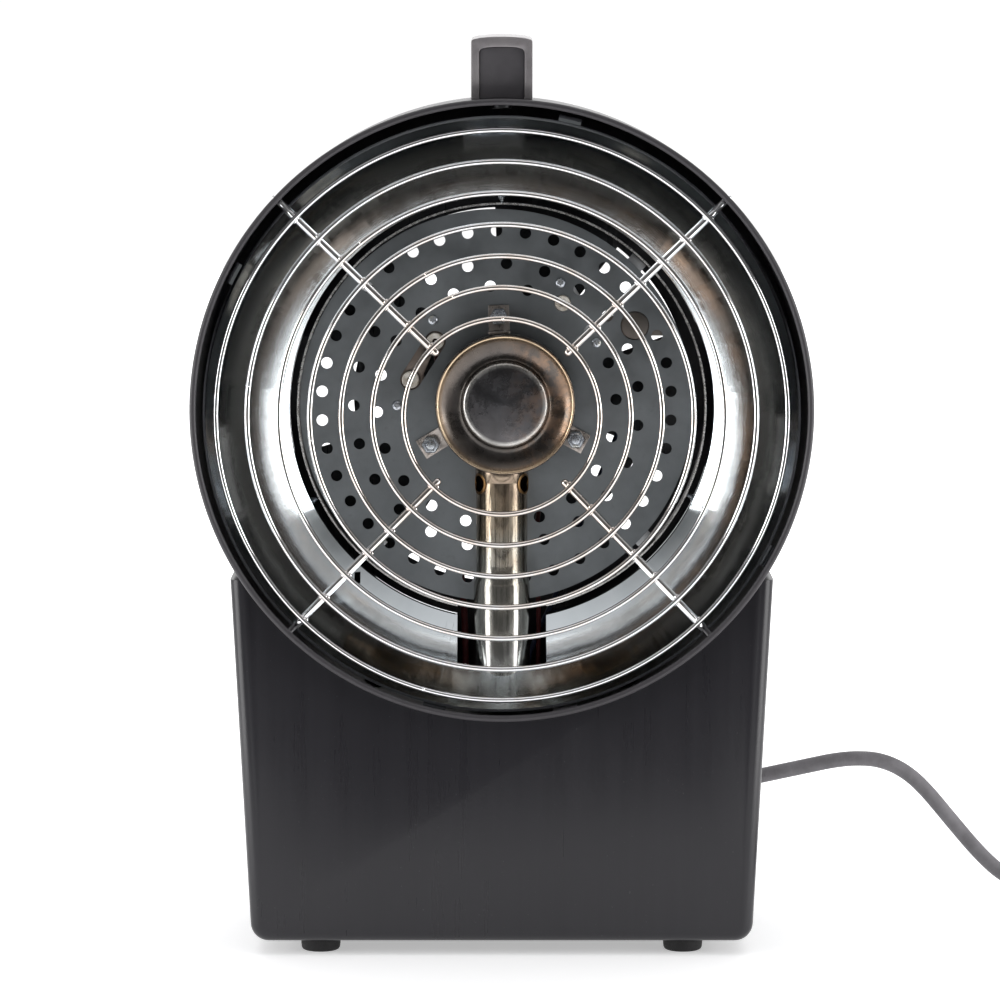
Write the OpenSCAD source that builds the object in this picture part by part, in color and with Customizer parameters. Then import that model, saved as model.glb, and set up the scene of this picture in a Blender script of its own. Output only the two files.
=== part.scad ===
// Portable gas dish heater: a round drum head with a cone reflector and a wire guard,
// standing on a tapered box base that holds the valve, the igniter and the mixing tube's foot.
// +Z is up and the dish faces -Y. The origin is on the floor, under the middle of the heater.
// "Depth" always means the distance behind the drum's front lip, and a clock angle is counted
// clockwise from the top as the dish is seen from the front.

/* [Head] */
// Outside diameter of the drum
head_d = 270; // [225:1:324]
// Height of the drum's underside above the floor
drum_low_z = 105; // [100:1:140]
// Depth of the drum from its lip to its rear edge
drum_depth = 100; // [88:1:130]
// Sheet thickness of the drum
drum_wall = 1; // [0.8:0.1:1.6]
// Radius of the rolled lip
hem_r = 1.4; // [1.1:0.1:2]
// Width of the drum's inward rear flange
flange_w = 10; // [8:0.5:14]
// Thickness of the rear cover
cover_wall = 1; // [0.8:0.1:2]

/* [Reflector] */
// Gap between the reflector's rim and the outside of the drum
rim_gap = 6.2; // [5.5:0.1:9]
// Inner radius of the reflector's neck
neck_r = 94.3; // [88:0.1:98]
// Depth of the reflector's rim
rim_depth = 12; // [12:0.5:16]
// Depth of the reflector's inner edge
neck_depth = 50; // [46:0.5:52]
// Sheet thickness of the reflector
cone_wall = 0.6; // [0.5:0.1:1]
// How far the reflector's profile bellies out from a straight cone
belly = 3; // [0:0.1:5]
// How far the reflector and the guard hang below the drum's centre
dish_drop = 2.2; // [0:0.1:3]
// Width of the slot that the mixing tube passes through
slot_w = 39.4; // [36:0.1:46]

/* [Burner plate] */
// Depth of the perforated plate's front face
plate_depth = 58; // [58:0.5:62]
// Thickness of the perforated plate
plate_wall = 0.8; // [0.6:0.1:1.2]
// Diameter of the plate's round holes
perf_d = 5.1; // [3:0.1:6]
// Radius of the outer, middle and inner circle of holes
perf_r1 = 77.7; // [70:0.1:80]
perf_r2 = 63.3; // [58:0.1:66]
perf_r3 = 53.1; // [48:0.1:55]
// Radius of the burner cap
cap_r = 30.7; // [28:0.1:33]
// Depth of the burner cap's front face
cap_depth = 28; // [26:0.5:30]

/* [Mixing tube] */
// Outside radius of the upper tube
tube_r = 11.35; // [9.5:0.05:12]
// Outside radius of the lower tube
tube_low_r = 12.4; // [12.1:0.05:13]
// Depth of the tube's axis
tube_depth = 42; // [41:0.5:44]
// Wall thickness of the tube
tube_wall = 0.8; // [0.6:0.1:1.2]
// Height of the tube's lower end
tube_low_z = 72; // [66:1:76]

/* [Guard] */
// Number of rings
ring_count = 7; // [5:1:7]
// Distance from one ring to the next
ring_pitch = 13.55; // [12:0.05:14.5]
// Gap between the outer ring and the outside of the drum
ring_gap = 11.2; // [10:0.1:15]
// Wire thickness of the rings
ring_wire = 2.4; // [2:0.1:3]
// Wire thickness of the spokes
spoke_wire = 3.4; // [2.8:0.1:3.8]
// Depth of the rings
ring_depth = 5; // [3:0.1:5.2]

/* [Base] */
// Width of the base at its foot
base_low_w = 220; // [196:1:264]
// Width of the base at its shoulders
base_top_w = 237; // [210:1:284]
// Length of the base from front to back
base_len = 125; // [118:1:150]
// Distance of the base's front panel behind the lip
base_set_back = 10; // [8:0.5:14]
// Height of the shoulders below the drum's centre
shoulder_drop = 74; // [60:1:80]
// Wall thickness of the base
base_wall = 2; // [1.5:0.1:3]
// Radius of the base's lower corners
corner_r = 8; // [4:0.5:12]
// Diameter and height of the feet
foot_d = 17.6; // [14:0.1:24]
foot_h = 6; // [5:0.5:10]
// Distance of the feet from the middle, and from the base's front and back
foot_x = 80; // [60:1:88]
foot_in = 17; // [14:1:24]

/* [Handle] */
// Width of the handle across the drum
handle_w = 26.5; // [22:0.1:34]
// Length of the handle from front to back
handle_len = 84; // [76:1:90]
// Height of the crown above the drum
handle_rise = 27.7; // [24:0.1:36]
// Thickness of the handle's side cheeks
cheek = 3.4; // [2:0.1:5]
// Thickness of the handle's top skin
skin = 4.4; // [2.5:0.1:5]
// Length of each post
post_len = 13; // [11:0.5:16]
// Thickness of the bar over the finger gap
bar_t = 9.5; // [8:0.5:11]

/* [Controls] */
// Place of the valve, the igniter button and the gas inlet on the rear panel
valve_x = -58; // [-62:1:-48]
valve_z = 62; // [54:1:68]
igniter_x = 0; // [-10:1:10]
igniter_z = 82; // [78:1:84]
inlet_x = 66; // [60:1:70]
inlet_z = 46; // [42:1:50]
// Radius of the knob's grip and of its skirt
knob_r = 15; // [13:0.5:18]
skirt_r = 19; // [18:0.5:24]
// How far the knob stands out from the rear panel
knob_proud = 28; // [27:0.5:34]
// How far the knob is pressed in
knob_travel = 4; // [3:0.5:4.5]
// Radius and travel of the igniter button
button_r = 6.5; // [5:0.1:7]
button_travel = 6; // [4:0.5:7]

/* [Hidden] */
$fn = 64;

// clearances
run = 0.05; // a shaft that turns or slides in its bore
fit = 0.1;  // a piece that seats on another
gap = 0.3;  // sheet metal beside sheet metal

// head
head_r = head_d / 2;
head_z = drum_low_z + head_r;
base_back = base_set_back + base_len; // depth of the base's rear face
lip_y = -(base_back + knob_proud) / 2;
rim_r = head_r - rim_gap;
slot_front = 27;
slot_back = 61;
window_count = 5;
window_turn = 54;
window_half = 16;
cover_screw_turn = 18;
cover_screw_r = 1.6;
pan_r = 3.2;
pan_h = 2;

// reflector, its rivets and the ring round the plate
neck_len = 8;
dish_steps = 12;
tab_angles = [13, 118, 193, 298];
tab_w = 10;
rivet_r = 1.5;
rivet_depth = rim_depth + 6;
ring_in_r = neck_r - 4.4;
ring_wall = 1;
ring_front = neck_depth + 4;
ring_len = 8;
tapper_angles = [0, 115, 244];
tapper_depth = ring_front + 2;
tapper_r = 1.6;

// burner plate
plate_x = -2.3;
plate_drop = 1.6;
plate_r = ring_in_r - 2.6;
window_radii = [[50, 63], [67, plate_r - 2.3]]; // all within the plate's rim
perf_counts = [38, 23, 20];
perf_turns = [0, 4, 15];
perf_radii = [perf_r1, perf_r2, perf_r3];
strap_angles = [43, 133, 223, 313];
strap_w = 8;
strap_t = 0.8;
strap_depth = plate_depth + plate_wall + fit;

// what the plate carries, from the drum's centre: x to the right, z up
spark_at = [-29.5, 27];
flame_at = [-40.5, 10];
sensor_at = [27, 44];
thermostat_at = [59, 34];
electrode_r = 3.9;
window_r = 4.7;
sensor_r = 3.8;
thermostat_r = 6.4;
pilot_screws = [[-30.5, 36.5], [-46.5, -1.5]];
sensor_screws = [[26, 53], [42, 26.5]];
small_screw_r = 1.2;
small_head_r = 2.1;
small_head_h = 1.4;

// burner
burner_z = head_z + 1;
cap_x = 1.5;
cap_h = 5;
cup_r = cap_r - 0.7;
cup_wall = 0.8;
cup_front = cap_depth + 8;
cup_back = plate_depth - 5;
port_count = 36;
port_w = 1.4;
tab_turn = -2;
lug_r = 37.2;
lug_w = 9.3;
lug_t = 1.2;
m4_r = 2;
m4_af = 7;
m4_nut_h = 3.2;

// mixing tube
flare_z = head_z - 75;
flare_h = 4;
tube_top_z = burner_z - 22;
air_z = tube_low_z + 6;
air_h = 9;

// guard
ring_out_r = head_r - ring_gap;
spoke_angles = [46, 136.5, 224.5, 314];
spoke_depth = ring_depth + (ring_wire + spoke_wire) / 2 - 0.15;
hook_depth = rim_depth - spoke_wire / 2 - 0.6;
spoke_in_r = ring_out_r - (ring_count - 1) * ring_pitch - 2.7;

// base
shoulder_z = head_z - shoulder_drop;
saddle_r = head_r + gap;
panel_t = 2;
panel_front = base_back - panel_t;
plate_z = foot_h + base_wall;
plate_t = 1.5;
post_r = 4;
post_bore = 1.4;
post_deep = 14;
saddle_turn = 25;
saddle_bolt_r = 2.4;
saddle_bolt_depths = [26, drum_depth - 16];
foot_ys = [lip_y + base_set_back + foot_in, lip_y + base_back - foot_in];
rear_screw_zs = [foot_h + 18, shoulder_z - 42];

// handle
handle_front = 8 + base_set_back / 2;
handle_mid = handle_front + handle_len / 2;
crown_z = head_z + head_r + handle_rise;
crown_drop = 1.2;
crown_r = ((handle_len / 2) ^ 2 + crown_drop ^ 2) / (2 * crown_drop);
handle_bolt_r = 2.4;

// valve, knob and igniter, as depths behind the lip
valve_back = panel_front - 5;
valve_len = 30;
valve_w = 26;
bush_r = 7;
bush_end = base_back + 4;
nut_end = base_back + 3.4;
stem_r = 3;
stem_in = valve_back - 12;
knob_back = base_back + knob_proud;
skirt_front = base_back + knob_travel + 2;
ceiling = knob_back - 13;
hub_r = 5.2;
hub_front = bush_end + knob_travel + 0.4;
seat_t = 1.4;
well_r = 12;
spring_r = 7.6;
spring_wire = 1;
spring_turns = 4;
igniter_r = 9.5;
igniter_bush_r = 8;
igniter_front = base_back - 40;
igniter_step = panel_front - 6;
bezel_r = 11;
bezel_end = base_back + 3;
button_end = base_back + 13;
button_in = base_back - 7;

// tilt switch
switch_h = 14;
switch_top = plate_z + plate_t + 2 * fit + switch_h;

// gas line
inlet_tilt = 12;
elbow_r = 7;
elbow_depth = base_back + 15;
ferrule_from = 7;
ferrule_len = 17;
ferrule_r = 5.2;
hose_r = 3.5;
pipe_r = 2.5;
jet_z = 60;
jet_r = 6;
hose_depth = elbow_depth;
coil_x = 280;
coil_turn_r = [35, 42];
coil_y = lip_y + hose_depth - coil_turn_r[1];
coil_lift = 0.6;
tie_t = 0.6;
tie_w = 6;
tie_slack = 0.3; // a straight strap round a curved coil

// Route of the hose from its ferrule to the coil: x and z, in the plane of the inlet
hose_route = [
    [89.5, 51], [100, 53.2], [115, 56.4], [130, 59.6], [145, 62.8], [155, 64.8], [165, 65.8],
    [175, 65.2], [184, 62.2], [192, 57], [199, 50.2], [206, 42], [213, 33.6], [220, 25.4],
    [227, 18], [234, 12], [242, 7.4], [250, 5], [258, 4.2], [266, 4.1], [272, 4.1]
];
// Routes of the pipes and the wires: x, depth and height
feed_route = [
    [valve_x, valve_back - valve_len - fit, valve_z], [valve_x, valve_back - valve_len - 6, valve_z],
    [valve_x, 84, valve_z], [valve_x + 2, 70, valve_z], [valve_x + 9, 54, 61], [-40, 45, jet_z],
    [-28, tube_depth, jet_z], [-15, tube_depth, jet_z]
];
port_depth = valve_back - 20;
inlet_route = [
    [inlet_x, panel_front - 6, inlet_z], [inlet_x, panel_front - 13, inlet_z],
    [inlet_x - 6, panel_front - 21, inlet_z], [46, port_depth, inlet_z + 2], [10, port_depth, 56],
    [-20, port_depth, valve_z - 1], [valve_x + valve_w / 2 + 7, port_depth, valve_z],
    [valve_x + valve_w / 2 + fit, port_depth, valve_z]
];
spark_route = [
    [-29.5, 77.1, head_z + 27], [-29.5, 81, head_z + 27], [-29, 86, head_z + 18],
    [-24, 86, head_z - 20], [-20, 80, head_z - 60], [-17, 68, head_z - 92],
    [-16.2, 58.6, drum_low_z + 23], [-16, 57.6, drum_low_z + 1], [-14, 62, drum_low_z - 9],
    [-6, 76, drum_low_z - 15], [igniter_x, igniter_front - 7, igniter_z],
    [igniter_x, igniter_front - 2 * fit, igniter_z]
];
red_route = [
    [27, 73, head_z + 44], [27.2, 76.5, head_z + 43.6], [27.5, 80, head_z + 34], [27, 80, head_z + 10],
    [20, 78, head_z - 30], [16, 74, head_z - 56], [16.4, 64, head_z - 92], [16.4, 58, drum_low_z + 23],
    [16, 57.6, drum_low_z + 1], [20, 60, 80], [34, 62, 54], [48, 62, 38],
    [50, 62, switch_top + 7], [50, 62, switch_top + fit]
];
blue_route = [
    [59, 69, head_z + 34], [59.2, 72.5, head_z + 33.6], [60, 77, head_z + 24], [54, 82, head_z - 10],
    [38, 84, head_z - 50], [26, 76, head_z - 84], [12.8, 58.6, drum_low_z + 23],
    [12.4, 58.2, drum_low_z + 1], [20, 68, 84], [38, 70, 56], [53, 70, 38],
    [54, 70, switch_top + 7], [54, 70, switch_top + fit]
];
red_wire_r = 1.1;
spark_wire_r = 1.5;

function half_w(z) =
    (base_low_w + (base_top_w - base_low_w) * (z - foot_h) / (shoulder_z - foot_h)) / 2;
function arc(c, r, from, to, n) =
    [for (i = [0:n]) let (a = from + (to - from) * i / n) c + r * [cos(a), sin(a)]];
// the outline of a strip with round ends, from a to b
function capsule(a, b, r, n = 12) = let (t = atan2(b[1] - a[1], b[0] - a[0]))
    concat(arc(b, r, t - 90, t + 90, n), arc(a, r, t + 90, t + 270, n));
function sector(r1, r2, mid, half, n = 12) = concat(
    [for (i = [0:n]) let (a = mid - half + 2 * half * i / n) r2 * [sin(a), cos(a)]],
    [for (i = [0:n]) let (a = mid + half - 2 * half * i / n) r1 * [sin(a), cos(a)]]
);
function unit(v) = v / norm(v);
function polar(a, r) = r * [sin(a), cos(a)];
// Points of a smooth line through p, with n steps between neighbours
function between(a, b, c, d, t) = 0.5 * (
    2 * b + (c - a) * t + (2 * a - 5 * b + 4 * c - d) * t * t
    + (3 * b - a - 3 * c + d) * t * t * t
);
function smooth(p, n) = let (last = len(p) - 1) concat(
    [for (i = [0:last - 1], k = [0:n - 1])
        between(p[max(i - 1, 0)], p[i], p[i + 1], p[min(i + 2, last)], k / n)],
    [p[last]]
);
function along(p, i) = unit(p[min(i + 1, len(p) - 1)] - p[max(i - 1, 0)]);

// A tube of radius r whose middle follows p; sideways[i] is square to the line at point i
module sweep(p, sideways, r, sides) {
    rings = len(p);
    points = [for (i = [0:rings - 1], j = [0:sides - 1])
        let (t = along(p, i), n = unit(sideways[i] - (sideways[i] * t) * t), b = cross(t, n))
        p[i] + r * (cos(360 * j / sides) * n + sin(360 * j / sides) * b)];
    walls = [for (i = [0:rings - 2], j = [0:sides - 1])
        [i * sides + j, (i + 1) * sides + j, (i + 1) * sides + (j + 1) % sides,
            i * sides + (j + 1) % sides]];
    start = [for (j = [0:sides - 1]) j];
    end = [for (j = [sides - 1:-1:0]) (rings - 1) * sides + j];
    polyhedron(points, concat(walls, [start, end]));
}
// The same for points given as x, depth and height, with one direction that is never along it
module swept(route, aside, r, sides = 8, n = 2) {
    p = smooth([for (q = route) [q[0], lip_y + q[1], q[2]]], n);
    sweep(p, [for (q = p) aside], r, sides);
}
module spring(x, z, from, to, r, wire, turns) {
    steps = 16 * turns;
    p = [for (i = [0:steps]) let (a = 360 * turns * i / steps, s = wire / 2)
        [x + r * cos(a), lip_y + from + s + (to - from - wire) * i / steps, z + r * sin(a)]];
    sweep(p, [for (q = p) unit([q[0] - x, 0, q[2] - z])], wire / 2, 6);
}

// Places: local z points at the viewer in front(), and out of the back in rear()
module front(depth = 0, drop = 0) translate([0, lip_y + depth, head_z - drop]) rotate([90, 0, 0]) children();
module rear(x, z, depth) translate([x, lip_y + depth, z]) rotate([-90, 0, 0]) children();
module turned(drop = 0) front(0, drop) rotate_extrude($fn = 180) children();
module clock(a, r) rotate([0, 0, -a]) translate([0, r, 0]) children();
// A pin along a radius of the drum, from r1 out to r2
module radial(a, r1, r2, r, depth, drop = 0)
    front(depth, drop) clock(a, r1) rotate([-90, 0, 0]) cylinder(r = r, h = r2 - r1, $fn = 32);
// A flat sheet that faces the viewer, from depth back to depth + t
module sheet(depth, t, drop = 0) front(depth + t, drop) linear_extrude(t) children();
module side_on(w) translate([-w / 2, lip_y, 0]) rotate([90, 0, 90]) linear_extrude(w) children();
module rod(a, b, d) {
    v = b - a;
    translate(a) rotate([0, acos(v[2] / norm(v)), atan2(v[1], v[0])]) cylinder(d = d, h = norm(v), $fn = 32);
}
module hex(af, h, bore) difference() {
    cylinder(r = af / sqrt(3), h = h, $fn = 6);
    translate([0, 0, -1]) cylinder(r = bore, h = h + 2, $fn = 32);
}
module pan_screw(head_r, head_h, r, len) {
    cylinder(r = head_r, h = head_h, $fn = 32);
    translate([0, 0, -len]) cylinder(r = r, h = len + 0.01, $fn = 32);
}
module tube_slot() translate([-slot_w / 2, lip_y + slot_front, drum_low_z - 8])
    cube([slot_w, slot_back - slot_front, 60]);

// ---- head ----
module drum_shell() color([0.17, 0.165, 0.18]) difference() {
    union() {
        turned() polygon([
            [head_r - drum_wall, -hem_r], [head_r, -hem_r], [head_r, -drum_depth],
            [head_r - flange_w, -drum_depth], [head_r - flange_w, drum_wall - drum_depth],
            [head_r - drum_wall, drum_wall - drum_depth]
        ]);
        turned() translate([head_r - hem_r, -hem_r]) circle(r = hem_r, $fn = 24);
    }
    tube_slot();
    for (a = spoke_angles)
        radial(a, head_r - 10, head_r + 10, spoke_wire / 2 + fit, hook_depth, dish_drop);
    for (a = tab_angles) radial(a, head_r - 5, head_r + 5, rivet_r + fit, rivet_depth);
    for (s = [-1, 1], d = saddle_bolt_depths)
        radial(180 + s * saddle_turn, head_r - 5, head_r + 5, saddle_bolt_r + fit, d);
    for (d = handle_bolt_depths()) radial(0, head_r - 5, head_r + 5, handle_bolt_r + fit, d);
    for (i = [0:window_count - 1])
        front(drum_depth + 5) clock(cover_screw_turn + 72 * i, head_r - flange_w / 2)
            cylinder(r = cover_screw_r + fit, h = 20, $fn = 32);
}

module drum_rear_cover() color([0.16, 0.16, 0.17]) sheet(drum_depth + fit, cover_wall) difference() {
    circle(r = head_r - gap, $fn = 180);
    for (i = [0:window_count - 1], w = window_radii)
        polygon(sector(w[0], w[1], window_turn + 72 * i, window_half));
    for (i = [0:window_count - 1])
        clock(cover_screw_turn + 72 * i, head_r - flange_w / 2)
            circle(r = cover_screw_r + fit, $fn = 32);
}

module rear_cover_screws() color("silver") for (i = [0:window_count - 1]) {
    p = polar(cover_screw_turn + 72 * i, head_r - flange_w / 2);
    rear(p[0], head_z + p[1], drum_depth + fit + cover_wall) pan_screw(pan_r, pan_h, cover_screw_r, 6);
}

// the reflector's profile from its rim, t = 0, to its neck, t = 1
function dish_point(t) = let (chord = [neck_r - rim_r, rim_depth - neck_depth])
    [rim_r, -rim_depth] + t * chord + 4 * t * (1 - t) * belly * unit([-chord[1], chord[0]]);
module reflector_cone() color([0.78, 0.78, 0.8]) difference() {
    union() {
        turned(dish_drop) polygon(concat(
            [for (i = [0:dish_steps]) dish_point(i / dish_steps)],
            [[neck_r, -neck_depth - neck_len], [neck_r + cone_wall, -neck_depth - neck_len]],
            [for (i = [dish_steps:-1:0]) dish_point(i / dish_steps) + [cone_wall, 0]]
        ));
        // tabs that reach out to the drum's wall and lie along it
        intersection() {
            for (a = tab_angles) front(rim_depth + 11, dish_drop) clock(a, rim_r)
                translate([-tab_w / 2, fit, 0]) cube([tab_w, 20, 11]);
            turned() polygon([
                [rim_r - 8, -rim_depth - fit], [head_r - drum_wall - run, -rim_depth - fit],
                [head_r - drum_wall - run, -rim_depth - 10],
                [head_r - drum_wall - run - cone_wall, -rim_depth - 10],
                [head_r - drum_wall - run - cone_wall, -rim_depth - cone_wall],
                [rim_r - 8, -rim_depth - cone_wall]
            ]);
        }
    }
    translate([-slot_w / 2, lip_y + neck_depth - 19, head_z - rim_r - 8])
        cube([slot_w, 60, 60]);
    translate([0, lip_y + tube_depth, drum_low_z - 8])
        cylinder(r = tube_low_r + gap, h = flare_z - drum_low_z + 8, $fn = 96);
    for (a = tab_angles) radial(a, head_r - 5, head_r + 5, rivet_r + fit, rivet_depth);
    for (a = tapper_angles) radial(a, neck_r - 3, neck_r + 3, tapper_r + fit, tapper_depth, dish_drop);
}

module reflector_rivets() color("silver") for (a = tab_angles) {
    tab_r = head_r - drum_wall - run - cone_wall;
    radial(a, tab_r - 1, tab_r - 0.05, 2.3, rivet_depth);
    radial(a, head_r - drum_wall - 1.2, head_r - fit, rivet_r, rivet_depth);
}

module chamber_ring() color([0.12, 0.11, 0.11]) difference() {
    turned(dish_drop) translate([ring_in_r, -ring_front - ring_len]) square([ring_wall, ring_len]);
    for (a = tapper_angles) radial(a, ring_in_r - 3, ring_in_r + 4, tapper_r + fit, tapper_depth, dish_drop);
    translate([-slot_w / 2, lip_y + ring_front - 5, head_z - neck_r - 10]) cube([slot_w, 30, 30]);
}

module chamber_screws() color([0.62, 0.62, 0.6]) for (a = tapper_angles) {
    radial(a, neck_r + cone_wall + fit, neck_r + cone_wall + 2.4, pan_r, tapper_depth, dish_drop);
    radial(a, ring_in_r + 0.1, neck_r + cone_wall + 0.2, tapper_r, tapper_depth, dish_drop);
}

module plate_straps() color([0.3, 0.3, 0.31]) for (a = strap_angles) {
    in_r = ring_in_r - 11;
    front(strap_depth + strap_t, dish_drop) clock(a, in_r) translate([-strap_w / 2, 0, 0])
        cube([strap_w, ring_in_r - fit - 0.2 - in_r, strap_t]);
    front(ring_front + ring_len + 0.5, dish_drop) clock(a, ring_in_r - fit - 0.2 - strap_t)
        translate([-strap_w / 2, 0, 0]) cube([strap_w, strap_t, ring_front + ring_len + 0.5 - strap_depth]);
}

// ---- plate and what it carries ----
function lug_at(i) = [0, burner_z - head_z] + polar(tab_turn + 120 * i, lug_r);
function kept_clear() = concat(
    [[spark_at, 8], [flame_at, 8], [(spark_at + flame_at) / 2, 9], [sensor_at, 7], [thermostat_at, 10]],
    [for (s = concat(pilot_screws, sensor_screws)) [s, 5.5]],
    [for (i = [0:2]) [lug_at(i), 8]]
);
function is_clear(p) = min([for (k = kept_clear()) norm(p - k[0]) - k[1]]) > 0;

module perforated_plate() color([0.42, 0.44, 0.46]) sheet(plate_depth, plate_wall) difference() {
    translate([plate_x, -plate_drop]) circle(r = plate_r, $fn = 180);
    for (k = [0:2], i = [0:perf_counts[k] - 1]) {
        p = [plate_x, -plate_drop] + polar(perf_turns[k] + 360 * i / perf_counts[k], perf_radii[k]);
        if (is_clear(p)) translate(p) circle(d = perf_d, $fn = 24);
    }
    polygon(capsule(spark_at, flame_at, window_r));
    translate(sensor_at) circle(r = sensor_r + fit, $fn = 32);
    translate(thermostat_at) circle(r = thermostat_r, $fn = 32);
    for (s = concat(pilot_screws, sensor_screws)) translate(s) circle(r = small_screw_r + fit, $fn = 32);
    for (i = [0:2]) translate(lug_at(i)) circle(r = m4_r + fit, $fn = 32);
}

module plate_screws() color("silver") for (s = concat(pilot_screws, sensor_screws))
    front(plate_depth) translate([s[0], s[1], 0]) pan_screw(small_head_r, small_head_h, small_screw_r, 3.4);

// a strip behind the plate between two small screws, with round holes in it
module strip(ends, w, t, holes) sheet(plate_depth + plate_wall + fit, t) difference() {
    union() {
        polygon(capsule(ends[0], ends[1], w / 2));
        for (h = holes) translate(h[0]) circle(r = h[1] + 2.3, $fn = 32);
    }
    for (p = ends) translate(p) circle(r = small_screw_r + fit, $fn = 32);
    for (h = holes) translate(h[0]) circle(r = h[1], $fn = 32);
}
// a glazed insulator with a wire core, seated in a strip
module insulator(p, r, from, to) front(to) translate([p[0], p[1], 0]) difference() {
    union() {
        cylinder(r = r, h = to - from, $fn = 32);
        cylinder(r = r + 1.6, h = to - plate_depth - plate_wall - 1.2 - 2 * fit, $fn = 32);
    }
    translate([0, 0, to - from - 4]) cylinder(r = 1.3, h = 5, $fn = 24);
}

module pilot_bracket() color([0.36, 0.3, 0.24])
    strip(pilot_screws, 11, 1, [[spark_at, electrode_r + fit], [flame_at, electrode_r + fit]]);
module spark_electrode() color([0.92, 0.9, 0.87])
    insulator(spark_at, electrode_r, plate_depth - 1, plate_depth + 18.8);
module flame_electrode() color([0.92, 0.9, 0.87])
    insulator(flame_at, electrode_r, plate_depth - 1, plate_depth + 16);
module sensor_bracket() color([0.5, 0.5, 0.5]) strip(sensor_screws, 9, 1, [[sensor_at, sensor_r - 0.3 + fit]]);
module flame_sensor() color([0.92, 0.9, 0.87])
    insulator(sensor_at, sensor_r - 0.3, plate_depth - 1.5, plate_depth + 14.8);

module overheat_thermostat() color([0.45, 0.42, 0.4]) {
    sheet(plate_depth + plate_wall + fit, 0.8) difference() {
        translate(thermostat_at) square([27, 9], center = true);
        translate(thermostat_at) circle(r = thermostat_r - 2, $fn = 32);
    }
    front(plate_depth + 10.8) translate([thermostat_at[0], thermostat_at[1], 0]) {
        cylinder(r = thermostat_r + 0.8, h = 9, $fn = 48);
        cylinder(r = thermostat_r - 0.4, h = 10.2, $fn = 48);
    }
}

// local z points at the viewer along the burner's axis
module burner_front(depth) front(depth, head_z - burner_z) translate([cap_x, 0, 0]) children();

module burner_cap() color([0.4, 0.33, 0.27]) burner_front(cap_depth)
    rotate_extrude($fn = 96) polygon([
        [0, 0], [cap_r - 13.4, 0], [cap_r - 11.9, -1.5], [cap_r - 11.3, -3.5], [cap_r - 9.2, -4],
        [cap_r - 4.7, -3], [cap_r - 1.5, -0.9], [cap_r - 0.7, -0.3], [cap_r, -0.9], [cap_r, -cap_h],
        [cap_r - 1, -cap_h], [cap_r - 1, -2.4], [cap_r - 4.5, -4.1], [cap_r - 9.3, -5.1],
        [cap_r - 12.2, -4.6], [cap_r - 13.1, -2.2], [cap_r - 13.8, -1.1], [0, -1.1]
    ]);

module burner_ports() color([0.5, 0.45, 0.4]) burner_front(cup_front + 4) difference() {
    cylinder(r = cup_r - cup_wall - fit, h = 8.3, $fn = 96);
    translate([0, 0, -1]) cylinder(r = cup_r - cup_wall - 1.4, h = 12, $fn = 96);
    for (i = [0:port_count - 1]) rotate(360 * i / port_count)
        translate([cup_r - 5, -port_w / 2, 4.3]) cube([6, port_w, 2.4]);
}

module burner_body() color([0.5, 0.47, 0.43]) difference() {
    burner_front(cup_back) difference() {
        cylinder(r = cup_r, h = cup_back - cup_front, $fn = 96);
        translate([0, 0, cup_wall]) cylinder(r = cup_r - cup_wall, h = cup_back - cup_front, $fn = 96);
    }
    translate([0, lip_y + tube_depth, burner_z - cup_r - 5]) cylinder(r = tube_r + fit, h = 20);
    translate([-tube_r - fit, lip_y + tube_depth - 30, burner_z - cup_r - 5])
        cube([2 * (tube_r + fit), 30, 5.6 + cup_r - sqrt(cup_r ^ 2 - (tube_r + fit + cap_x) ^ 2)]);
}

module mixing_tube() color([0.66, 0.63, 0.56]) difference() {
    translate([0, lip_y + tube_depth, 0]) rotate_extrude($fn = 96) polygon([
        [tube_low_r, tube_low_z], [tube_low_r, flare_z - flare_h], [tube_r, flare_z], [tube_r, tube_top_z],
        [tube_r - tube_wall, tube_top_z], [tube_r - tube_wall, flare_z],
        [tube_low_r - tube_wall, flare_z - flare_h], [tube_low_r - tube_wall, tube_low_z]
    ]);
    // the tube's head is scarfed so that it clears the cap, the port ring and the cup's back
    burner_front(cap_depth + cap_h + fit) cylinder(r = cap_r + fit, h = 40, $fn = 96);
    burner_front(cup_front + 4.2) cylinder(r = cup_r - cup_wall, h = 40, $fn = 96);
    burner_front(cup_back + 20) cylinder(r = cup_r + 2, h = 20 + cup_wall + fit, $fn = 96);
    translate([-20, lip_y + tube_depth - 4, air_z]) cube([40, 8, air_h]);
}

// how far from the middle a tab's leg stands against the cup
function leg_r(a) = cup_r + fit + cap_x * sin(a);
module burner_brackets() color([0.55, 0.52, 0.48]) for (i = [0:2]) difference() {
    a = tab_turn + 120 * i;
    front(plate_depth, head_z - burner_z) clock(a, leg_r(a)) translate([-lug_w / 2, 0, 0]) {
        cube([lug_w, lug_r + 5 - leg_r(a), lug_t]);
        cube([lug_w, lug_t, 13]);
    }
    front(plate_depth + 5) translate(lug_at(i)) cylinder(r = m4_r + fit, h = 12, $fn = 32);
}
module bracket_nuts() color("silver") for (i = [0:2])
    front(plate_depth - lug_t) translate(lug_at(i)) rotate(15 * i) hex(m4_af, m4_nut_h, m4_r + run);
module bracket_screws() color("silver") for (i = [0:2])
    front(plate_depth + plate_wall) translate(lug_at(i)) {
        translate([0, 0, -2.2 - fit]) cylinder(r = 3.5, h = 2.2, $fn = 32);
        translate([0, 0, -1]) cylinder(r = m4_r, h = 1 + plate_wall + lug_t + m4_nut_h + 1.4, $fn = 32);
    }

// ---- guard ----
module guard_rings() color([0.8, 0.8, 0.82]) for (i = [0:ring_count - 1])
    front(ring_depth, dish_drop) rotate_extrude($fn = 120)
        translate([ring_out_r - i * ring_pitch, 0]) circle(d = ring_wire, $fn = 16);

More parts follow.
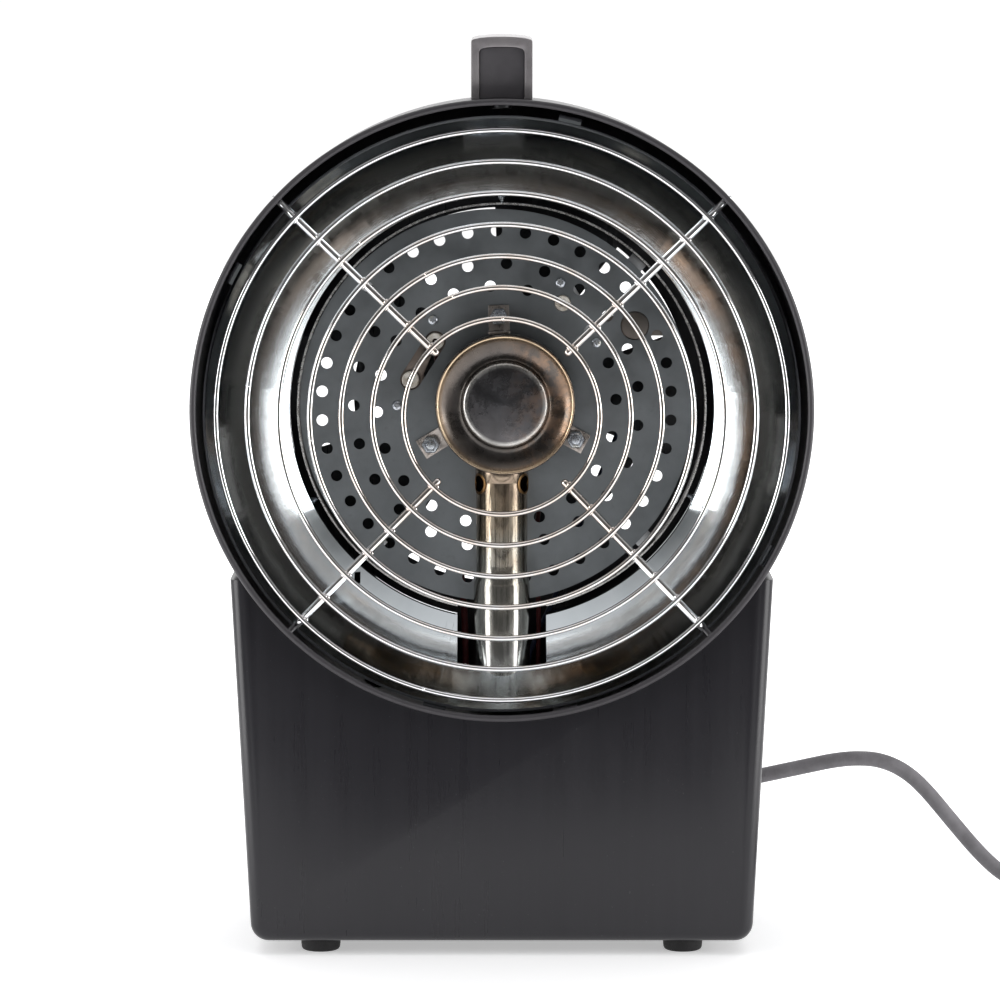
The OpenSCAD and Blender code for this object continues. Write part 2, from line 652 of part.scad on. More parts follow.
module guard_spokes() color([0.8, 0.8, 0.82]) for (a = spoke_angles) {
    reach = head_r - 0.4 + dish_drop * cos(a);
    stops = [
        [0, spoke_in_r, -spoke_depth], [0, rim_r - 2.6, -spoke_depth],
        [0, rim_r + 0.6, -hook_depth], [0, reach, -hook_depth]
    ];
    front(0, dish_drop) rotate([0, 0, -a]) {
        for (k = [0:2]) rod(stops[k], stops[k + 1], spoke_wire);
        for (k = [1:2]) translate(stops[k]) sphere(d = spoke_wire + 0.1, $fn = 32);
    }
}

// ---- wires ----
module sensor_wires() color([0.45, 0.05, 0.05]) {
    swept(red_route, [1, 0.3, 0], red_wire_r);
    swept(blue_route, [1, 0.3, 0], red_wire_r);
}
module ignition_lead() color([0.3, 0.04, 0.04]) swept(spark_route, [1, 0.3, 0], spark_wire_r);

// ---- base ----
module outline(inset) {
    low = foot_h + inset;
    top = shoulder_z - inset;
    lean = atan2(half_w(top) - half_w(low), top - low);
    r = max(corner_r - inset, 0.5);
    cx = half_w(low + r) - inset - r;
    polygon(concat(
        arc([cx, low + r], r, -90, -lean, 8),
        [[half_w(top) - inset, top], [inset - half_w(top), top]],
        arc([-cx, low + r], r, 180 + lean, 270, 8)
    ));
}
module base_block(inset, from, to) translate([0, lip_y + to, 0]) rotate([90, 0, 0])
    linear_extrude(to - from) outline(inset);
module drum_space(r) front(base_back + 60) cylinder(r = r, h = base_back + 120, $fn = 180);

module body_shell() color([0.16, 0.155, 0.17]) {
    difference() {
        union() {
            difference() {
                base_block(0, base_set_back, base_back);
                difference() {
                    base_block(base_wall, base_set_back + base_wall, base_back + 5);
                    drum_space(saddle_r + base_wall);
                }
            }
            for (s = [-1, 1], z = rear_screw_zs) rear(s * rear_screw_x(z), z, panel_front - fit - post_deep)
                cylinder(r = post_r, h = post_deep, $fn = 32);
        }
        drum_space(saddle_r);
        tube_slot();
        for (s = [-1, 1], d = saddle_bolt_depths)
            radial(180 + s * saddle_turn, head_r - 5, saddle_r + base_wall + 5, saddle_bolt_r + fit, d);
        for (s = [-1, 1], y = foot_ys) translate([s * foot_x, y, foot_h - 1])
            cylinder(r = m4_r + fit, h = base_wall + 2, $fn = 32);
        air_slots(foot_h - 1);
        for (s = [-1, 1], z = rear_screw_zs) rear(s * rear_screw_x(z), z, panel_front - 12)
            cylinder(r = post_bore + fit, h = 20, $fn = 32);
    }
}
function rear_screw_x(z) = half_w(z) - base_wall - post_r + 0.8;

module rear_panel() color([0.2, 0.2, 0.21]) difference() {
    base_block(base_wall + gap, panel_front, base_back);
    drum_space(saddle_r + base_wall + gap);
    rear(valve_x, valve_z, panel_front - 5) cylinder(r = bush_r + fit, h = 20);
    rear(igniter_x, igniter_z, panel_front - 5) cylinder(r = igniter_bush_r + fit, h = 20);
    rear(inlet_x, inlet_z, panel_front - 5) cylinder(r = elbow_r - 1 + fit, h = 20);
    for (s = [-1, 1], z = rear_screw_zs) rear(s * rear_screw_x(z), z, panel_front - 5)
        cylinder(r = post_bore + 0.3, h = 20, $fn = 32);
    for (i = [-3:3], z = [18, 28]) translate([i * 16 - 6, lip_y + panel_front - 5, z]) cube([12, 20, 3.2]);
}
module rear_panel_screws() color("silver") for (s = [-1, 1], z = rear_screw_zs)
    rear(s * rear_screw_x(z), z, base_back) pan_screw(pan_r, pan_h, post_bore, panel_t + 9);

module base_plate() color([0.55, 0.55, 0.56]) difference() {
    y1 = lip_y + base_set_back + base_wall + gap;
    y2 = lip_y + panel_front - fit - gap;
    w = half_w(foot_h + corner_r) - corner_r - gap;
    translate([-w, y1, plate_z + fit]) cube([2 * w, y2 - y1, plate_t]);
    for (s = [-1, 1], y = foot_ys) translate([s * foot_x, y, plate_z - 1])
        cylinder(r = m4_r + fit, h = plate_t + 3, $fn = 32);
    air_slots(plate_z - 1);
}
// air reaches the mixing tube from below
module air_slots(z) for (x = [-24, 8]) translate([x, lip_y + tube_depth - 20, z]) cube([16, 10, 5]);

module rubber_feet() color([0.07, 0.07, 0.07]) for (s = [-1, 1], y = foot_ys) translate([s * foot_x, y, 0])
    difference() {
        union() {
            translate([0, 0, 1]) cylinder(d = foot_d, h = foot_h - 1);
            cylinder(d1 = foot_d - 2, d2 = foot_d, h = 1);
        }
        translate([0, 0, -1]) cylinder(r = m4_r + fit, h = foot_h + 2, $fn = 32);
        translate([0, 0, -1]) cylinder(r = 4.6, h = foot_h - 1.5, $fn = 32);
    }
module foot_screws() color("silver") for (s = [-1, 1], y = foot_ys) translate([s * foot_x, y, 0]) {
    translate([0, 0, foot_h - 4.6]) cylinder(r = 4, h = 2, $fn = 32);
    translate([0, 0, foot_h - 3]) cylinder(r = m4_r, h = base_wall + plate_t + 8.6, $fn = 32);
    translate([0, 0, plate_z + plate_t + 2 * fit]) cylinder(r = m4_af / sqrt(3), h = m4_nut_h, $fn = 6);
}

module saddle_bolts() color("silver") for (s = [-1, 1], d = saddle_bolt_depths) {
    a = 180 + s * saddle_turn;
    radial(a, head_r - drum_wall - 3.2, head_r - drum_wall - fit, 4.2, d);
    radial(a, head_r - drum_wall - 1, saddle_r + base_wall + 7, saddle_bolt_r, d);
    radial(a, saddle_r + base_wall + fit, saddle_r + base_wall + 4, 4.4, d);
}

module tilt_switch() color([0.12, 0.12, 0.14]) {
    z = plate_z + plate_t + 2 * fit;
    translate([38, lip_y + 54, z]) cube([26, 24, switch_h]);
    translate([30, lip_y + 58, z]) cube([42, 16, 1.5]);
}

// ---- handle ----
function handle_bolt_depths() = [handle_front + post_len / 2, handle_front + handle_len - post_len / 2];
// the arch seen from the side, as depth and height, between an inner and an outer edge
module arch(lower, recess) difference() {
    intersection() {
        translate([handle_front + recess, head_z + head_r - 6])
            square([handle_len - 2 * recess, handle_rise + 8]);
        translate([handle_mid, crown_z - crown_r]) circle(r = crown_r - lower, $fn = 180);
    }
    intersection() {
        translate([handle_front + post_len, head_z + head_r - 10])
            square([handle_len - 2 * post_len, handle_rise + 10]);
        translate([handle_mid, crown_z - crown_r]) circle(r = crown_r - bar_t, $fn = 180);
    }
}
module handle_frame() color([0.8, 0.78, 0.78]) difference() {
    side_on(handle_w) arch(0, 0);
    side_on(handle_w - 2 * cheek) translate([handle_mid, crown_z - crown_r])
        circle(r = crown_r - skin, $fn = 180);
    front(base_back + 60) cylinder(r = head_r + fit, h = base_back + 120, $fn = 180);
}
module handle_grip() color([0.14, 0.14, 0.15]) difference() {
    side_on(handle_w - 2 * cheek - 2 * fit) arch(skin + fit, 0.8);
    front(base_back + 60) cylinder(r = head_r + fit, h = base_back + 120, $fn = 180);
    for (d = handle_bolt_depths()) radial(0, head_r - 3, head_r + 13, handle_bolt_r + run, d);
}
module handle_bolts() color("silver") for (d = handle_bolt_depths()) {
    radial(0, head_r - drum_wall - 3.4, head_r - drum_wall - fit, 4.4, d);
    radial(0, head_r - drum_wall - 1, head_r + 12, handle_bolt_r, d);
}

// ---- valve and knob ----
module gas_valve() color([0.72, 0.6, 0.32]) difference() {
    union() {
        translate([valve_x - valve_w / 2, lip_y + valve_back - valve_len, valve_z - valve_w / 2])
            cube([valve_w, valve_len, valve_w]);
        rear(valve_x, valve_z, valve_back - 1) cylinder(r = bush_r, h = bush_end - valve_back + 1);
        rear(valve_x, valve_z, valve_back - 1)
            cylinder(r = bush_r + 3, h = panel_front - fit - valve_back + 1);
    }
    rear(valve_x, valve_z, stem_in - knob_travel - 1) cylinder(r = stem_r + run, h = 60);
}
module valve_nut() color("silver") rear(valve_x, valve_z, base_back + 0.6 + fit) difference() {
    cylinder(r = 10.5, h = nut_end - base_back - 0.6 - fit, $fn = 6);
    translate([0, 0, -1]) cylinder(r = bush_r + run, h = 10);
}
module valve_stem() color("silver") rear(valve_x, valve_z, stem_in)
    cylinder(r = stem_r, h = ceiling + 6 - stem_in);
module knob_spring() color("silver")
    spring(valve_x, valve_z, nut_end + fit, ceiling - seat_t - 2 * fit, spring_r, spring_wire, spring_turns);
module spring_seat() color([0.7, 0.7, 0.7]) rear(valve_x, valve_z, ceiling - seat_t - fit) difference() {
    cylinder(r = 9.5, h = seat_t);
    translate([0, 0, -1]) cylinder(r = hub_r + run, h = 5);
}
module control_knob() color([0.08, 0.08, 0.085]) rear(valve_x, valve_z, 0) difference() {
    union() {
        translate([0, 0, skirt_front]) cylinder(r = skirt_r, h = 5);
        translate([0, 0, skirt_front]) cylinder(r = knob_r, h = knob_back - skirt_front, $fn = 96);
    }
    difference() {
        translate([0, 0, skirt_front - 1]) cylinder(r = well_r, h = ceiling - skirt_front + 1);
        translate([0, 0, hub_front]) cylinder(r = hub_r, h = 60);
    }
    translate([0, 0, skirt_front - 1]) cylinder(r = stem_r + run, h = ceiling + 6.2 - skirt_front + 1);
    for (i = [1:15]) rotate(22.5 * i - 90) translate([knob_r + 0.9, 0, skirt_front + 7])
        cylinder(r = 1.8, h = 30, $fn = 24);
    translate([-1 - fit, 1 - knob_r, knob_back - 1]) cube([2 + 2 * fit, knob_r - 5, 2]);
}
// white line on the knob's face, pointing up at OFF
module knob_pointer() color("white")
    translate([valve_x - 1, lip_y + knob_back - 1 + fit, valve_z + 4 + fit])
        cube([2, 1 - fit, knob_r - 5 - 2 * fit]);
module dial_plate() color([0.75, 0.75, 0.76]) rear(valve_x, valve_z, base_back + fit) difference() {
    cylinder(r = skirt_r + 11, h = 0.5, $fn = 96);
    translate([0, 0, -1]) cylinder(r = bush_r + fit, h = 5);
}

// ---- igniter ----
module piezo_igniter() color([0.1, 0.1, 0.11]) difference() {
    union() {
        rear(igniter_x, igniter_z, igniter_front) cylinder(r = igniter_r, h = igniter_step - igniter_front);
        rear(igniter_x, igniter_z, igniter_step - 1)
            cylinder(r = igniter_bush_r, h = bezel_end - igniter_step + 1);
        rear(igniter_x, igniter_z, base_back + fit) cylinder(r = bezel_r, h = bezel_end - base_back - fit);
    }
    rear(igniter_x, igniter_z, button_in - button_travel - 9) cylinder(r = button_r + run, h = 60);
}
module piezo_nut() color("silver") rear(igniter_x, igniter_z, panel_front - 3.1) difference() {
    cylinder(r = igniter_bush_r + 4, h = 3, $fn = 6);
    translate([0, 0, -1]) cylinder(r = igniter_bush_r + run, h = 6);
}
module piezo_button() color([0.6, 0.07, 0.06]) {
    rear(igniter_x, igniter_z, button_in) cylinder(r = button_r, h = button_end - button_in - 1);
    rear(igniter_x, igniter_z, button_end - 1.01) cylinder(r1 = button_r, r2 = button_r - 1, h = 1.01);
}

// ---- gas line ----
module inlet_elbow() color([0.72, 0.6, 0.32]) difference() {
    union() {
        rear(inlet_x, inlet_z, panel_front - 6) cylinder(r = elbow_r - 1, h = 6 + panel_t + 15);
        rear(inlet_x, inlet_z, base_back + fit) cylinder(r = elbow_r + 2.5, h = 4, $fn = 6);
        translate([inlet_x, lip_y + elbow_depth, inlet_z - elbow_r]) cylinder(r = elbow_r, h = 2 * elbow_r);
        translate([inlet_x, lip_y + elbow_depth, inlet_z]) rotate([0, 90 - inlet_tilt, 0])
            cylinder(r = elbow_r - 2, h = ferrule_from + 3);
    }
    rear(inlet_x, inlet_z, panel_front - 8) cylinder(r = pipe_r + run, h = 6, $fn = 32);
}
module inlet_nut() color([0.72, 0.6, 0.32]) rear(inlet_x, inlet_z, panel_front - 4.1) difference() {
    cylinder(r = elbow_r + 3, h = 4, $fn = 6);
    translate([0, 0, -1]) cylinder(r = elbow_r - 1 + run, h = 8);
}
module inlet_pipe() color([0.75, 0.75, 0.76]) swept(inlet_route, [0, 0, 1], pipe_r, 10);
module feed_pipe() color([0.75, 0.75, 0.76]) swept(feed_route, [0, 0, 1], pipe_r, 10);

module jet_holder() color([0.72, 0.6, 0.32]) difference() {
    union() {
        translate([0, lip_y + tube_depth, plate_z + plate_t + 2 * fit]) {
            cylinder(r = 9, h = 3);
            cylinder(r = jet_r, h = jet_z + 8 - plate_z - plate_t);
        }
        translate([0, lip_y + tube_depth, jet_z + 7]) cylinder(r = 3.2, h = tube_low_z + 4 - jet_z - 7);
        translate([-16, lip_y + tube_depth, jet_z]) rotate([0, 90, 0]) cylinder(r = 4.6, h = 12);
    }
    translate([-20, lip_y + tube_depth, jet_z]) rotate([0, 90, 0])
        cylinder(r = pipe_r + run, h = 12, $fn = 32);
    translate([0, lip_y + tube_depth, jet_z]) cylinder(r = 0.6, h = 40, $fn = 16);
}
module air_shutter() color([0.6, 0.6, 0.6]) translate([0, lip_y + tube_depth, air_z - 3]) difference() {
    cylinder(r = tube_low_r + 1, h = air_h + 6, $fn = 96);
    translate([0, 0, -1]) cylinder(r = tube_low_r + run, h = air_h + 10, $fn = 96);
    translate([-20, -2, 3]) cube([40, 8, air_h]);
}

module hose_ferrule() color([0.7, 0.7, 0.7]) translate([inlet_x, lip_y + elbow_depth, inlet_z])
    rotate([0, 90 - inlet_tilt, 0]) difference() {
        translate([0, 0, ferrule_from]) cylinder(r = ferrule_r, h = ferrule_len);
        translate([0, 0, ferrule_from - 1]) cylinder(r = elbow_r - 2 + run, h = 4.1);
    }
module gas_hose() color([0.41, 0.4, 0.42])
    swept([for (p = hose_route) [p[0], hose_depth, p[1]]], [0, 1, 0], hose_r, 10);
module gas_hose_coil() color([0.41, 0.4, 0.42]) translate([coil_x, coil_y, coil_lift])
    rotate_extrude($fn = 96) translate([coil_turn_r[0] - hose_r, 0])
        square([coil_turn_r[1] - coil_turn_r[0] + 2 * hose_r, 4 * hose_r]);
// the union nut at the far end lies beside the coil
module hose_connector() color([0.72, 0.6, 0.32]) translate([coil_x + coil_turn_r[1], coil_y - 24.2, 8.7])
    rotate([90, 0, 0]) {
        cylinder(r = 5.2, h = 16, $fn = 32);
        translate([0, 0, 15]) cylinder(r = 8.6, h = 15, $fn = 6);
        translate([0, 0, 29]) cylinder(r = 6.5, h = 10, $fn = 32);
    }
// a strap that keeps the turns together
module hose_tie() color([0.1, 0.1, 0.1]) translate([coil_x, coil_y, 0]) rotate(200) difference() {
    low = coil_turn_r[0] - hose_r - tie_slack;
    w = coil_turn_r[1] - coil_turn_r[0] + 2 * (hose_r + tie_slack);
    translate([low - tie_t, -tie_w / 2, 0])
        cube([w + 2 * tie_t, tie_w, coil_lift + 4 * hose_r + fit + tie_t]);
    translate([low, -tie_w, coil_lift - fit]) cube([w, 2 * tie_w, 4 * hose_r + 2 * fit]);
}

drum_shell();
drum_rear_cover();
rear_cover_screws();
reflector_cone();
reflector_rivets();
chamber_ring();
chamber_screws();
plate_straps();
perforated_plate();
plate_screws();
burner_cap();
burner_ports();
burner_body();
mixing_tube();
burner_brackets();
bracket_nuts();
bracket_screws();
guard_rings();
guard_spokes();
pilot_bracket();
spark_electrode();
flame_electrode();
sensor_bracket();
flame_sensor();
overheat_thermostat();
sensor_wires();
ignition_lead();
body_shell();
rear_panel();
rear_panel_screws();
base_plate();
rubber_feet();
foot_screws();
saddle_bolts();
handle_frame();
handle_grip();
handle_bolts();
gas_valve();
valve_nut();
valve_stem();
knob_spring();
spring_seat();
control_knob();
knob_pointer();
dial_plate();
piezo_igniter();
piezo_nut();
piezo_button();
inlet_elbow();
inlet_nut();
inlet_pipe();
feed_pipe();
jet_holder();
air_shutter();
tilt_switch();
hose_ferrule();
gas_hose();
gas_hose_coil();
hose_connector();
hose_tie();
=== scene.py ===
import math

import bmesh
import bpy
from mathutils import Matrix, Vector


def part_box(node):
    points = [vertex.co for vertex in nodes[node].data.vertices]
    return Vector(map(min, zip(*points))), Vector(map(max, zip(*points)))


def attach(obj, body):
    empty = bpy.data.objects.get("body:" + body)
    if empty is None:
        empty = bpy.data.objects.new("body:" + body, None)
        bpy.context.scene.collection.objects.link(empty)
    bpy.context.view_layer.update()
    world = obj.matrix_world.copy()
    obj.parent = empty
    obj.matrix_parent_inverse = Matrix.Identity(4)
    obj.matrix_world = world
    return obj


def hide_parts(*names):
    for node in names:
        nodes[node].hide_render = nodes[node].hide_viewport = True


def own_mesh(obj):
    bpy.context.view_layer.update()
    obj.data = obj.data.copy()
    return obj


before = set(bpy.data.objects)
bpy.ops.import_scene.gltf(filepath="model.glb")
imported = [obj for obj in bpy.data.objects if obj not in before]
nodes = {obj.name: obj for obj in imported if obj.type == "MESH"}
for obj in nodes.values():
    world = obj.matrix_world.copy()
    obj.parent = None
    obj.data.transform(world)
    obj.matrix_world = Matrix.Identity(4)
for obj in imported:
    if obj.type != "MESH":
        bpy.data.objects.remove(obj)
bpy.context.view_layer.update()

# places that everything else is measured from
drumLow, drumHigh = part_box("drum_shell")
lipY = drumLow.y
headZ = (drumLow.z + drumHigh.z) / 2
drumR = (drumHigh.x - drumLow.x) / 2
ringLow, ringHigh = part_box("guard_rings")
dishZ = (ringLow.z + ringHigh.z) / 2  # the reflector and the guard hang a little low
headCentre = Vector((0, lipY, headZ))
dishCentre = Vector((0, lipY, dishZ))


# ---------- small helpers ----------

def place(clock, radius, depth, z=headZ):  # clock runs clockwise from the top, seen from the front
    a = math.radians(clock)
    return Vector((radius * math.sin(a), lipY + depth, z + radius * math.cos(a)))


def paint(red, green, blue):  # screen values 0 to 255, as linear light
    return tuple(((c / 255 + 0.055) / 1.055) ** 2.4 if c > 10 else c / 3294 for c in (red, green, blue))


def step(tree, kind, inputs=None, **settings):  # one node, with its settings and what feeds it
    node = tree.nodes.new(kind)
    for key, value in settings.items():
        setattr(node, key, value)
    for key, value in (inputs or {}).items():
        if isinstance(value, bpy.types.NodeSocket):
            tree.links.new(value, node.inputs[key])
        else:
            node.inputs[key].default_value = value
    return node


def calc(tree, operation, a, b):
    return step(tree, "ShaderNodeMath", {0: a, 1: b}, operation=operation).outputs[0]


def newObject(name, data):
    obj = bpy.data.objects.new(name, data)
    bpy.context.scene.collection.objects.link(obj)
    return obj


def shade(obj, sharpAngle=35):
    mesh = obj.data
    mesh.polygons.foreach_set("use_smooth", [True] * len(mesh.polygons))
    mesh.set_sharp_from_angle(angle=math.radians(sharpAngle))
    return obj


def meshPiece(name, verts, faces, material, sharpAngle=35, outward=True):
    mesh = bpy.data.meshes.new(name)
    mesh.from_pydata([tuple(v) for v in verts], [], faces)
    if outward:
        work = bmesh.new()
        work.from_mesh(mesh)
        bmesh.ops.recalc_face_normals(work, faces=work.faces)
        work.to_mesh(mesh)
        work.free()
    if material:
        mesh.materials.append(material)
    return shade(newObject(name, mesh), sharpAngle)


def bake(obj, sharpAngle=35, outward=False):  # modifiers become plain mesh
    graph = bpy.context.evaluated_depsgraph_get()
    mesh = bpy.data.meshes.new_from_object(obj.evaluated_get(graph))
    obj.modifiers.clear()
    obj.data = mesh
    if outward:
        work = bmesh.new()
        work.from_mesh(mesh)
        bmesh.ops.recalc_face_normals(work, faces=work.faces)
        work.to_mesh(mesh)
        work.free()
    return shade(obj, sharpAngle)


def lathe(name, profile, material, centre, axis=(0, 1, 0), steps=96, closed=True, sharpAngle=35):
    # profile is a list of (radius, distance along the axis), turned round the axis through centre
    turn = Vector((0, 0, 1)).rotation_difference(Vector(axis)).to_matrix()
    verts, rows = [], []
    for radius, along in profile:
        if radius < 1e-7:
            rows.append([len(verts)] * steps)
            verts.append(Vector(centre) + turn @ Vector((0, 0, along)))
            continue
        rows.append(list(range(len(verts), len(verts) + steps)))
        for i in range(steps):
            a = math.tau * i / steps
            verts.append(Vector(centre) + turn @ Vector((radius * math.cos(a), radius * math.sin(a), along)))
    pairs = list(zip(rows, rows[1:])) + ([(rows[-1], rows[0])] if closed else [])
    faces = []
    for low, high in pairs:
        for i in range(steps):
            j = (i + 1) % steps
            corners = list(dict.fromkeys([low[i], low[j], high[j], high[i]]))  # three at a pole
            if len(corners) > 2:
                faces.append(corners)
    return meshPiece(name, verts, faces, material, sharpAngle)


def blockWalls(a, b):  # round a block, from one row of four corners to the next
    return [
        (a, a + 1, b + 1, b), (a + 2, b + 2, b + 3, a + 3),
        (a + 1, a + 3, b + 3, b + 1), (a, b, b + 2, a + 2)]


def boxPiece(name, low, high, material=None):
    verts = [(x, y, z) for x in (low[0], high[0]) for y in (low[1], high[1]) for z in (low[2], high[2])]
    faces = [(0, 1, 3, 2), (4, 6, 7, 5), (0, 4, 5, 1), (2, 3, 7, 6), (0, 2, 6, 4), (1, 5, 7, 3)]
    return meshPiece(name, verts, faces, material)


def join(name, objects):
    for other in objects[1:]:
        for material in other.data.materials:
            if material.name not in objects[0].data.materials:
                objects[0].data.materials.append(material)
    with bpy.context.temp_override(active_object=objects[0], object=objects[0], selected_objects=objects,
                                   selected_editable_objects=objects):
        bpy.ops.object.join()
    objects[0].name = name
    return objects[0]


def cut(obj, cutters, operation="DIFFERENCE"):
    for cutter in cutters:
        modifier = obj.modifiers.new("cut", "BOOLEAN")
        modifier.operation = operation
        modifier.solver = "EXACT"
        modifier.object = cutter
    bake(obj)
    for cutter in cutters:
        bpy.data.objects.remove(cutter)
    return obj


def thicken(obj, wall, sharpAngle=35):
    modifier = obj.modifiers.new("wall", "SOLIDIFY")
    modifier.thickness = wall
    modifier.offset = 0
    return bake(obj, sharpAngle, outward=True)


def soften(obj, width, segments=2, angle=40, sharpAngle=35):  # rounds the sharp edges
    modifier = obj.modifiers.new("soften", "BEVEL")
    modifier.width = width
    modifier.segments = segments
    modifier.limit_method = "ANGLE"
    modifier.angle_limit = math.radians(angle)
    return bake(obj, sharpAngle)


def copyNode(node, name, material):  # a merged copy of a CAD node, in clean faces
    work = bmesh.new()
    work.from_mesh(nodes[node].data)
    bmesh.ops.remove_doubles(work, verts=work.verts, dist=2e-6)
    bmesh.ops.dissolve_limit(work, angle_limit=math.radians(0.5), verts=work.verts, edges=work.edges)
    mesh = bpy.data.meshes.new(name)
    work.to_mesh(mesh)
    work.free()
    mesh.materials.clear()
    mesh.materials.append(material)
    return shade(newObject(name, mesh))


def settle(obj, slot, *replaced, body="heater"):
    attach(obj, body)
    if replaced:
        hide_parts(*replaced)
    return obj


def refine(node, material, slot, width=0.0003, body="heater"):
    name = "".join(word.title() if i else word for i, word in enumerate(node.split("_")))
    return settle(soften(copyNode(node, name, material), width), slot, node, body=body)


def solids(node):  # the boxes of a node's separate solids
    work = bmesh.new()
    work.from_mesh(nodes[node].data)
    bmesh.ops.remove_doubles(work, verts=work.verts, dist=2e-6)
    found, seen = [], set()
    for first in work.verts:
        if first in seen:
            continue
        seen.add(first)
        island, queue = [], [first]
        while queue:
            vert = queue.pop()
            island.append(vert.co.copy())
            for edge in vert.link_edges:
                other = edge.other_vert(vert)
                if other not in seen:
                    seen.add(other)
                    queue.append(other)
        found.append((Vector([min(c) for c in zip(*island)]), Vector([max(c) for c in zip(*island)])))
    work.free()
    return found


def middleAt(low, high, y):  # the middle of a box in x and z, at its own y
    return Vector(((low.x + high.x) / 2, y, (low.z + high.z) / 2))


def smoothPath(points, pieces):  # the same smooth line through its points that the CAD route follows
    last = len(points) - 1
    path = []
    for i in range(last):
        a, b = points[max(i - 1, 0)], points[i]
        c, d = points[i + 1], points[min(i + 2, last)]
        for k in range(pieces):
            t = k / pieces
            path.append(0.5 * (2 * b + (c - a) * t + (2 * a - 5 * b + 4 * c - d) * t * t
                               + (3 * b - a - 3 * c + d) * t ** 3))
    return path + [points[-1]]


def sweep(name, path, radius, material, sides=12, ends=None):
    # a round tube along path; ends lists (share of the radius, step back in radii) for rounded ends
    count = len(path)
    tangents = [(path[min(i + 1, count - 1)] - path[max(i - 1, 0)]).normalized() for i in range(count)]
    side = tangents[0].orthogonal().normalized()
    rings = []
    for i, tangent in enumerate(tangents):
        if i:
            side = tangents[i - 1].rotation_difference(tangent) @ side
        side = (side - side.dot(tangent) * tangent).normalized()
        rings.append((path[i], radius, side.copy(), tangent.cross(side)))
    for share, back in ends or ():
        rings.insert(0, (path[0] - tangents[0] * radius * back, radius * share, *rings[0][2:]))
        rings.append((path[-1] + tangents[-1] * radius * back, radius * share, *rings[-1][2:]))
    verts, faces = [], []
    for centre, size, u, v in rings:
        for j in range(sides):
            a = math.tau * j / sides
            verts.append(centre + size * (math.cos(a) * u + math.sin(a) * v))
    for i in range(len(rings) - 1):
        for j in range(sides):
            k = (j + 1) % sides
            faces.append((i * sides + j, i * sides + k, (i + 1) * sides + k, (i + 1) * sides + j))
    faces.append(tuple(range(sides)))
    faces.append(tuple(range((len(rings) - 1) * sides, len(rings) * sides)))
    obj = meshPiece(name, verts, faces, material, sharpAngle=50)
    layer = obj.data.uv_layers.new(name="along")  # metres round and along, for patterns on hoses
    run = [0.0]
    for i in range(1, len(rings)):
        run.append(run[-1] + (rings[i][0] - rings[i - 1][0]).length)
    for polygon in obj.data.polygons:
        columns = [obj.data.loops[i].vertex_index % sides for i in polygon.loop_indices]
        wraps = 0 in columns and sides - 1 in columns
        for i in polygon.loop_indices:
            ring, column = divmod(obj.data.loops[i].vertex_index, sides)
            turn = column + (sides if wraps and column == 0 else 0)
            layer.data[i].uv = (turn / sides * math.tau * radius, run[ring])
    return obj


# ---------- geometry node helpers ----------

def newTree(name, inputs):
    tree = bpy.data.node_groups.new(name, "GeometryNodeTree")
    tree.interface.new_socket("Geometry", in_out="INPUT", socket_type="NodeSocketGeometry")
    for label, kind in inputs:
        tree.interface.new_socket(label, in_out="INPUT", socket_type="NodeSocket" + kind)
    tree.interface.new_socket("Geometry", in_out="OUTPUT", socket_type="NodeSocketGeometry")
    start = step(tree, "NodeGroupInput").outputs
    return tree, start, step(tree, "NodeGroupOutput")


def finishTree(tree, start, end, geometry):
    real = step(tree, "GeometryNodeRealizeInstances", {"Geometry": geometry})
    coat = step(tree, "GeometryNodeSetMaterial", {"Geometry": real.outputs[0], "Material": start["Finish"]})
    tree.links.new(coat.outputs[0], end.inputs[0])
    return tree


def grow(name, tree, values, points=((0, 0, 0),), edges=(), attributes=None, sharpAngle=35):
    mesh = bpy.data.meshes.new(name)
    mesh.from_pydata([tuple(p) for p in points], list(edges), [])
    for key, rows in (attributes or {}).items():
        isVector = isinstance(rows[0], Vector)
        layer = mesh.attributes.new(key, "FLOAT_VECTOR" if isVector else "FLOAT", "POINT")
        for item, row in zip(layer.data, rows):
            setattr(item, "vector" if isVector else "value", row)
    obj = newObject(name, mesh)
    modifier = obj.modifiers.new("grow", "NODES")
    modifier.node_group = tree
    for item in tree.interface.items_tree:
        if item.in_out == "INPUT" and item.name in values:
            modifier[item.identifier] = values[item.name]
    return bake(obj, sharpAngle)


def makeStampTree():  # sets one shape at every point, its own +Z along the point's aim
    tree, start, end = newTree("stamp", [("Shape", "Object"), ("Finish", "Material")])
    shape = step(tree, "GeometryNodeObjectInfo", {"Object": start["Shape"]})
    aim = step(tree, "GeometryNodeInputNamedAttribute", {"Name": "aim"}, data_type="FLOAT_VECTOR")
    turn = step(tree, "FunctionNodeAlignRotationToVector", {"Vector": aim.outputs[0]}, axis="Z")
    cloud = step(tree, "GeometryNodeMeshToPoints", {"Mesh": start["Geometry"]})
    stamped = step(tree, "GeometryNodeInstanceOnPoints", {
        "Points": cloud.outputs[0], "Instance": shape.outputs["Geometry"], "Rotation": turn.outputs[0]})
    return finishTree(tree, start, end, stamped.outputs[0])


stampTree = makeStampTree()


def stamp(name, shape, spots, material, sharpAngle=35):  # spots are (position, aim)
    result = grow(name, stampTree, {"Shape": shape, "Finish": material}, [p for p, aim in spots],
                  attributes={"aim": [Vector(aim) for p, aim in spots]}, sharpAngle=sharpAngle)
    bpy.data.objects.remove(shape)
    return result


# ---------- material helpers ----------

